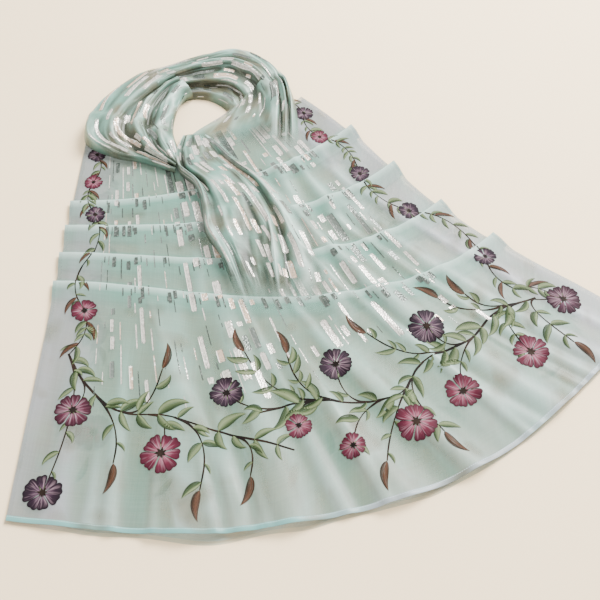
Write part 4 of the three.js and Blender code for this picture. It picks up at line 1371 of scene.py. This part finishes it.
class OBJECT_OT_saree_foil(bpy.types.Operator):
    """Adds the foil bars to the fan and the gathered stretches"""

    bl_idname = "object.saree_foil"
    bl_label = "Foil bars"

    def execute(self, context):
        foil = context.scene.saree_foil
        material = silver_foil(foil)
        draw = np.random.RandomState(foil.seed)
        bars = Patches()
        arc = arc_length(FAN_FOIL["middle"])
        middle = FAN_FOIL["left"]
        while middle < arc - FAN_FOIL["right"]:
            self.line_of_bars(bars, middle / arc, draw)
            middle += foil.pitch / MM * draw.uniform(0.6, 1.4)
        piece = bars.make("foil_on_pallu", material, bpy.data.objects["pallu_cloth"])
        for number, name in enumerate(STRETCHES, 1):
            self.bars_on_stretch(name, material, np.random.RandomState(foil.seed + number))
        return {"FINISHED"}

    def line_of_bars(self, bars, across, draw):
        """Bars of one width after another down the cloth, cut where a tuck's edge crosses them."""
        radius = FAN_FOIL["start"] + draw.uniform(0, 60)
        end = FAN_FOIL["end"] + draw.uniform(-1, 1) * FAN_FOIL["end_spread"]
        end = end + FAN_FOIL["end_rise"] * across
        cuts = [tuck_radius(tuck, across) for tuck in TUCKS]
        self.comb_of_bars(bars, across + TUCK_FOIL["comb_shift"] / end, cuts, draw)
        width = draw.choice(BAR_WIDTHS, p=BAR_CHANCES)
        while radius < end:
            length = draw.choice(BAR_LENGTHS, p=(0.16, 0.24, 0.26, 0.2, 0.14)) * draw.uniform(0.8, 1.2)
            shift = draw.uniform(-1.5, 1.5) / radius
            stop = min(radius + length, end + 20)
            marks = [radius] + [cut for cut in cuts if radius < cut < stop] + [stop]
            for start, finish in zip(marks, marks[1:]):
                if finish - start > 6:
                    below = min([start - cut for cut in cuts if start >= cut - 1] + [1e3])
                    # Bars just below a tuck's edge often take the tone of foil in painted shadow, and stay
                    # short.
                    shaded_bar = below < TUCK_FOIL["below"] and draw.uniform() < TUCK_FOIL["shaded_bar"]
                    tone = bar_tone(draw, shaded_bar, width < 3)
                    if shaded_bar:
                        finish = min(finish, start + draw.uniform(16, 34))
                    breadth = width * draw.uniform(0.8, 1.1)
                    self.bar_on_fan(bars, across + shift, start + 1.6, finish - 1.6, breadth, tone, draw)
            radius = stop + draw.choice((5, 16, 40, 80), p=(0.25, 0.3, 0.25, 0.2)) * draw.uniform(0.8, 1.3)

    def comb_of_bars(self, bars, across, cuts, draw):
        """Short bars in painted shadow that hang like the teeth of a comb from the tucks' folded edges."""
        for cut in cuts:
            if draw.uniform() < TUCK_FOIL["comb"]:
                start = cut + draw.uniform(2, 9)
                finish = start + draw.uniform(12, 30)
                self.bar_on_fan(bars, across, start, finish, draw.choice((1.8, 2.6, 5, 7)), 0.05, draw)

    def bar_on_fan(self, bars, across, start, finish, width, tone, draw):
        rows = np.linspace(-1, 1, 5 if width > 4 else 3)[None, :]
        radius = np.linspace(start, finish, max(3, int((finish - start) / 5) + 1))[:, None] + 0 * rows
        place = fan_place(across + rows * width / 2 / arc_length(radius), radius)
        height = cloth_height(place) + LIFT["foil"]
        points = np.concatenate([place, height[..., None]], -1)
        bars.add(brushed_outline(points, draw), tone, draw.randint(100))

    def bars_on_stretch(self, name, material, draw):
        """Lines of bars that run along a gathered stretch, over its folds."""
        surface = stretch_grid(name)[0]
        lengths = cloth_lengths(surface)
        girth = lengths[-1, :, 0].mean()
        bars = Patches()
        middle = 12
        while middle < girth - 10:
            self.line_on_stretch(bars, surface, lengths, middle / girth, STRETCHES[name]["foil_end"], draw)
            middle += draw.uniform(9, 21)
        piece = bars.make("foil_on_" + name, material, bpy.data.objects[name + "_folds"])

    def line_on_stretch(self, bars, surface, lengths, share, last, draw):
        """Bars of one width after another along a stretch, drifting a little across it."""
        columns = np.linspace(0, 1, len(surface))
        run = lengths[:, -1, 1].mean()
        width = draw.choice(BAR_WIDTHS, p=GATHERED_BAR_CHANCES)
        drift = draw.uniform(0, 0.14)
        way = draw.uniform(0.02, 0.16)
        while way < last - 0.03:
            reach = draw.choice(BAR_LENGTHS, p=(0.16, 0.24, 0.3, 0.2, 0.1)) * draw.uniform(0.8, 1.2)
            end = min(way + reach / run, last)
            steps = max(4, int((end - way) * run / 4))
            ways = np.linspace(way, end, steps)
            sides = np.zeros((steps, 7))
            for i, place in enumerate(ways):
                over = lengths[:, int(place * (surface.shape[1] - 1)), 0]
                middle = (share + drift * (place - 0.5)) * over[-1]
                sides[i] = np.interp(middle + np.linspace(-0.5, 0.5, 7) * width, over, columns)
            place, normal = grid_at(surface, sides, ways[:, None] + 0 * sides)
            points = brushed_outline(place + normal * LIFT["foil"], draw)
            bars.add(points, bar_tone(draw, thin=width < 3), draw.randint(100))
            way = end + draw.uniform(10, 62) / run


# ---- pieces: the painted vine ----


STROKES, STROKE_RISE = 6, 0.018
STROKE_JUMP = 2.2  # a face of a petal or leaf that climbs more than this at a tuck is left out


class Painting:
    """Flowers, leaves and stems drawn in pattern coordinates and laid on the cloth."""

    def __init__(self, seed, height_of):
        self.draw = np.random.RandomState(seed)
        self.height_of = height_of
        self.petals, self.leaves, self.stems = Patches(), Patches(), Patches()

    def lay(self, group, points, lift, tone):
        order = len(group.vertices) % STROKES  # strokes that cross lie over each other
        height = self.height_of(points) + lift + STROKE_RISE * order
        group.add(np.concatenate([points, height[..., None]], -1), tone, self.draw.randint(100))

    def stem(self, control, start=2.4, end=1.2):
        """A brush line along a smooth curve through the control points. Returns its points."""
        control = np.array(control, float)
        length = np.linalg.norm(np.diff(control, axis=0), axis=1).sum()
        count = max(6, int(length / 6))
        line = along(control, np.linspace(0, 1, count))
        run = np.gradient(line, axis=0)
        side = np.stack([-run[:, 1], run[:, 0]], 1) / np.linalg.norm(run, axis=1, keepdims=True)
        swell = 1 + 0.25 * np.sin(np.linspace(0, math.pi * 3, count))
        half = mix(start, end, np.linspace(0, 1, count)) * swell / 2
        points = np.stack([line + side * half[:, None] * way for way in (-1, 0, 1)], 1)
        self.lay(self.stems, points, LIFT["stem"], 0.5)
        return line

    def leaf(self, base, heading, length, width, bend=0.5, tone=0.0, group=None):
        """A pointed leaf from its base along a heading, bent as it goes."""
        count = 11
        way = np.linspace(0, 1, count)
        angle = heading + bend * (way - 0.3)
        step = length / (count - 1)
        spine = np.stack([np.cos(angle), np.sin(angle)], 1) * step
        spine = np.array(base) + np.concatenate([np.zeros((1, 2)), np.cumsum(spine[:-1], 0)])
        side = np.stack([-np.sin(angle), np.cos(angle)], 1)
        half = width / 2 * np.sin(math.pi * way**0.8).clip(0, 1) ** 0.85 * (1 - 0.3 * way)
        points = np.stack([spine + side * half[:, None] * row for row in np.linspace(-1, 1, 7)], 1)
        self.lay(group or self.leaves, points, LIFT["core"] if group else LIFT["leaf"], tone)

    def flower(self, centre, size, tone, petals):
        """A round flower of notched petals with a dark core."""
        turn = self.draw.uniform(0, math.tau)
        for i in range(petals):
            heading = turn + math.tau * i / petals + self.draw.uniform(-0.08, 0.08)
            length = size / 2 * self.draw.uniform(0.9, 1.04)
            spread = math.pi / petals * self.draw.uniform(0.96, 1.1)
            way = np.linspace(0, 1, 9)[:, None]
            row = np.linspace(-1, 1, 9)[None, :]
            opened = spread * np.sin(math.pi * (0.1 + 0.62 * way)) ** 0.6
            notch = 1 - 0.1 * row**4 * way - 0.07 * np.exp(-((row / 0.3) ** 2)) * way**3
            reach = length * (0.13 + 0.87 * way * notch)
            angle = heading + opened * row
            points = np.array(centre) + np.stack([reach * np.cos(angle), reach * np.sin(angle)], -1)
            self.lay(self.petals, points, LIFT["petal"] + 0.05 * (i % 2), tone)
        for i in range(7):
            heading = math.tau * i / 7 + turn
            length = size * self.draw.uniform(0.1, 0.17)
            self.leaf(centre, heading, length, size * 0.07, 0.2, 1.0, self.stems)

    def leaves_along(self, line, spacing, length, first=1, bare=0.0):
        """Leaves on alternate sides of a stem past its bare start, now and then two together."""
        steps = np.linalg.norm(np.diff(line, axis=0), axis=1)
        travelled = np.concatenate([[0], np.cumsum(steps)])
        side, place = first, spacing * 0.5 + bare
        while place < travelled[-1] - spacing * 0.3:
            i = int(np.searchsorted(travelled, place))
            run = line[min(i + 1, len(line) - 1)] - line[max(i - 1, 0)]
            heading = math.atan2(run[1], run[0])
            for way in (side, -side)[: 2 if self.draw.uniform() < 0.35 else 1]:
                size = length * self.draw.uniform(0.6, 1.25)
                turned = heading + way * self.draw.uniform(0.55, 1.15)
                bend = -way * self.draw.uniform(0.5, 1.5)
                self.leaf(line[i], turned, size, size * self.draw.uniform(0.3, 0.44), bend)
            side, place = -side, place + spacing * self.draw.uniform(0.6, 1.5)

    def shoot(self, line, goal, start=3.6, end=1.8, back=0.75):
        """A side stem that leaves a stem along its own way and curls over to a goal. Returns its points."""
        gap = np.linalg.norm(line - np.array(goal), axis=1)
        step = np.linalg.norm(np.diff(line, axis=0), axis=1).mean()
        i = int(np.clip(gap.argmin() - back * gap.min() / step, 0, len(line) - 2))
        run = (line[i + 1] - line[i]) / step
        bend = line[i] + run * np.linalg.norm(goal - line[i]) * 0.55
        t = np.linspace(0, 1, 6)[:, None]
        return self.stem(mix(mix(line[i], bend, t), mix(bend, goal, t), t), start, end)

    def make(self, prefix, materials, parent):
        groups = (("petals", self.petals), ("leaves", self.leaves), ("stems", self.stems))
        for (kind, group), material in zip(groups, materials):
            jump = FAR if kind == "stems" else STROKE_JUMP
            piece = group.make(prefix + kind, material, parent, jump)


def hem_spot(angle, offset):
    """A place on the fan by its angle and its distance from the hem."""
    across = angle / FAN["angle"]
    return fan_place(across, hem_radius(across) - offset)


def side_spot(side, radius, inset):
    """A place on the fan by its radius and its distance from the left selvedge, 0, or the right one, 1."""
    share = inset / arc_length(radius)
    return fan_place(share if side == 0 else 1 - share, radius)


# Main stems over the hem, from each selvedge to the middle, as angles and distances from the hem.
HEM_STEMS = (
    {"angle": (2.6, 4.4, 7.2, 10.6, 13.6, 16.6, 19.2), "offset": (318, 262, 216, 214, 190, 158, 128)},
    {
        "angle": (42.4, 38.8, 35.0, 31.2, 27.8, 24.6, 21.2, 17.6),
        "offset": (176, 206, 198, 216, 178, 194, 216, 204),
    },
)
HEM_FLOWERS = (
    {"angle": 2.1, "offset": 52, "rose": 0.0, "size": 1.0},
    {"angle": 3.6, "offset": 206, "rose": 0.5, "size": 1.0},
    {"angle": 10.2, "offset": 140, "rose": 1.0, "size": 1.08},
    {"angle": 16.0, "offset": 256, "rose": 0.0, "size": 1.0},
    {"angle": 20.2, "offset": 172, "rose": 1.0, "size": 0.75},
    {"angle": 22.9, "offset": 112, "rose": 1.0, "size": 0.72},
    {"angle": 25.2, "offset": 278, "rose": 0.0, "size": 0.95},
    {"angle": 27.6, "offset": 118, "rose": 1.0, "size": 1.05},
    {"angle": 31.9, "offset": 130, "rose": 1.0, "size": 1.05},
    {"angle": 33.6, "offset": 268, "rose": 0.0, "size": 1.05},
    {"angle": 38.0, "offset": 108, "rose": 1.0, "size": 1.05},
    {"angle": 43.7, "offset": 136, "rose": 0.2, "size": 1.05},
)
HEM_BUDS = {
    "angle": (6.8, 12.4, 15.8, 11.2, 18.6, 22.0, 29.2, 36.6, 40.8, 28.8, 38.6, 24.4),
    "offset": (116, 74, 92, 308, 336, 322, 318, 300, 66, 82, 272, 70),
}
SIDE_VINES = (
    {
        "side": 0,
        "radius": (655, 735, 829, 960, 1066, 1160),
        "inset": (30, 34, 52, 46, 66, 52),
        "rose": (0, 1, 0, None, 1, None),
    },
    {
        "side": 1,
        "radius": (640, 712, 792, 932, 1075, 1260, 1350, 1425),
        "inset": (44, 36, 62, 66, 56, 50, 84, 52),
        "rose": (None, 0, 1, 0, 0, 0, None, None),
    },
)

# The faint vine on the layer beneath: how far it is moved from the one above, and its strokes by the hem.
# They are given by angle and distance from the hem, and the leaves by their heading too.
GHOST = {
    "down": 52,
    "inward": 26,
    "flower": (5.3, 172),
    "leaves": ((4.2, 78, 1.2), (9.4, 66, 0.8), (21.4, 110, 1.6), (30.6, 92, 2.6), (37.0, 66, 0.4)),
}


# Widths of stems where they start and end, spacing and length of leaves, and length and width of buds.
STEM_WIDTHS = {"hem": (3.8, 3.2), "bud": (3.8, 2.2), "side": (3.0, 2.0)}
LEAVES = {"hem": (31, 50), "shoot": (30, 36), "side": (19, 31)}
BARE_SHOOT = 20
BUD, BROWN_LEAF = (56, 17), (44, 11)


def paint_hem_vine(paint, size):
    """Two running stems over the hem with flowers, brown buds, side shoots and leaves on both sides."""
    stems = []
    for vine in HEM_STEMS:
        control = [hem_spot(*place) for place in zip(vine["angle"], vine["offset"])]
        stems.append(paint.stem(control, *STEM_WIDTHS["hem"]))
        paint.leaves_along(stems[-1], *LEAVES["hem"])
    for flower in HEM_FLOWERS:
        place = hem_spot(flower["angle"], flower["offset"])
        shoot = paint.shoot(nearest_stem(stems, place), place)
        paint.leaves_along(shoot, *LEAVES["shoot"], bare=BARE_SHOOT)
        width = size * flower["size"] * paint.draw.uniform(0.95, 1.05)
        paint.flower(place, width, flower["rose"], paint.draw.randint(8, 11))
    for i, (angle, offset) in enumerate(zip(HEM_BUDS["angle"], HEM_BUDS["offset"])):
        place = hem_spot(angle, offset)
        shoot = paint.shoot(nearest_stem(stems, place), place, *STEM_WIDTHS["bud"])
        paint.leaves_along(shoot, *LEAVES["shoot"], bare=BARE_SHOOT)
        run = shoot[-1] - shoot[-3]
        paint.leaf(place, math.atan2(run[1], run[0]), *BUD, 0.9 if i % 2 else -0.9, 1.0)


def nearest_stem(stems, place):
    return min(stems, key=lambda line: np.linalg.norm(line - place, axis=1).min())


def paint_side_vine(paint, vine, size, hem_size):
    """A thin stem down one border through its flowers, with leaves on both sides and slender brown ones."""
    places = [side_spot(vine["side"], *place) for place in zip(vine["radius"], vine["inset"])]
    share = np.linspace(0, 1, len(places))
    for i, (start, finish) in enumerate(zip(places, places[1:])):
        run = finish - start
        across = np.array([run[1], -run[0]]) * 0.13 * (1 if i % 2 else -1)
        control = [start, start + run * 0.3 + across, start + run * 0.65 + across, finish]
        line = paint.stem(control, *STEM_WIDTHS["side"])
        scale = mix(0.8, 1.15, share[i])
        spacing, length = (size * scale for size in LEAVES["side"])
        paint.leaves_along(line[2:], spacing, length, first=1 if i % 2 else -1)
        for portion, turned in ((0.3, 0.7), (0.75, -0.75)):
            base = line[int(portion * (len(line) - 1))]
            heading = math.atan2(run[1], run[0]) + turned
            paint.leaf(base, heading, BROWN_LEAF[0] * scale, BROWN_LEAF[1] * scale, -1.3 * turned, 1.0)
    for i, (place, rose) in enumerate(zip(places, vine["rose"])):
        if rose is not None:
            width = mix(size, hem_size, share[i] ** 2 * 0.6) * paint.draw.uniform(0.95, 1.06)
            paint.flower(place, width, float(rose), paint.draw.randint(7, 10))


class OBJECT_OT_saree_vine(bpy.types.Operator):
    """Paints the flowering vine along the borders, and its ghost on the layer beneath"""

    bl_idname = "object.saree_vine"
    bl_label = "Painted vine"

    def execute(self, context):
        vine = context.scene.saree_vine
        materials = (painted_petals(vine), painted_leaves(vine), painted_stems(vine))
        paint = Painting(vine.seed, cloth_height)
        paint_hem_vine(paint, vine.flower / MM)
        for border in SIDE_VINES:
            paint_side_vine(paint, border, vine.side_flower / MM, vine.flower / MM)
        paint.make("vine_", materials, bpy.data.objects["pallu_cloth"])
        ghost = Painting(vine.seed + 5, under_height)
        for border in SIDE_VINES:
            moved = {
                "radius": [radius + GHOST["down"] for radius in border["radius"]],
                "inset": [inset + GHOST["inward"] for inset in border["inset"]],
            }
            paint_side_vine(ghost, {**border, **moved}, vine.side_flower / MM, vine.flower / MM)
        ghost.flower(hem_spot(*GHOST["flower"]), vine.flower / MM, 1.0, 10)
        for angle, offset, turn in GHOST["leaves"]:
            ghost.leaf(hem_spot(angle, offset), turn, 50, 13, 0.6)
        ghost.make("under_vine_", materials, bpy.data.objects["folded_cloth_upper"])
        return {"FINISHED"}


# ---- the add-on ----

OPERATORS = (
    OBJECT_OT_saree_stage,
    OBJECT_OT_saree_layers,
    OBJECT_OT_saree_pallu,
    OBJECT_OT_saree_binding,
    OBJECT_OT_saree_loop,
    OBJECT_OT_saree_foil,
    OBJECT_OT_saree_vine,
)
SETTINGS = {
    "saree_cloth": SareeCloth,
    "saree_foil": SareeFoil,
    "saree_vine": SareeVine,
    "saree_stage": SareeStage,
}


class VIEW3D_PT_saree(bpy.types.Panel):
    """Lists the saree's settings and the operators that build it"""

    bl_idname = "VIEW3D_PT_saree"
    bl_label = "Organza saree"
    bl_space_type = "VIEW_3D"
    bl_region_type = "UI"
    bl_category = "Saree"

    def draw(self, context):
        for operator in OPERATORS:
            self.layout.operator(operator.bl_idname)
        for name, group in SETTINGS.items():
            box = self.layout.box()
            box.label(text=group.__doc__)
            for key in group.__annotations__:
                box.prop(getattr(context.scene, name), key)


def register():
    for group in SETTINGS.values():
        bpy.utils.register_class(group)
    for name, group in SETTINGS.items():
        setattr(bpy.types.Scene, name, PointerProperty(type=group))
    for operator in (*OPERATORS, VIEW3D_PT_saree):
        bpy.utils.register_class(operator)


def unregister():
    for operator in reversed((*OPERATORS, VIEW3D_PT_saree)):
        bpy.utils.unregister_class(operator)
    for name in SETTINGS:
        delattr(bpy.types.Scene, name)
    for group in reversed(SETTINGS.values()):
        bpy.utils.unregister_class(group)


def main():
    """Builds the whole saree and works out the boxes round its solids and round its looks."""
    register()
    for operator in OPERATORS:
        group, name = operator.bl_idname.split(".")
        getattr(getattr(bpy.ops, group), name)()
    boxes = {"cad": CAD_BOX, "visual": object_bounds()}
    {key: [list(corner) for corner in box] for key, box in boxes.items()}


if __name__ == "__main__":
    main()
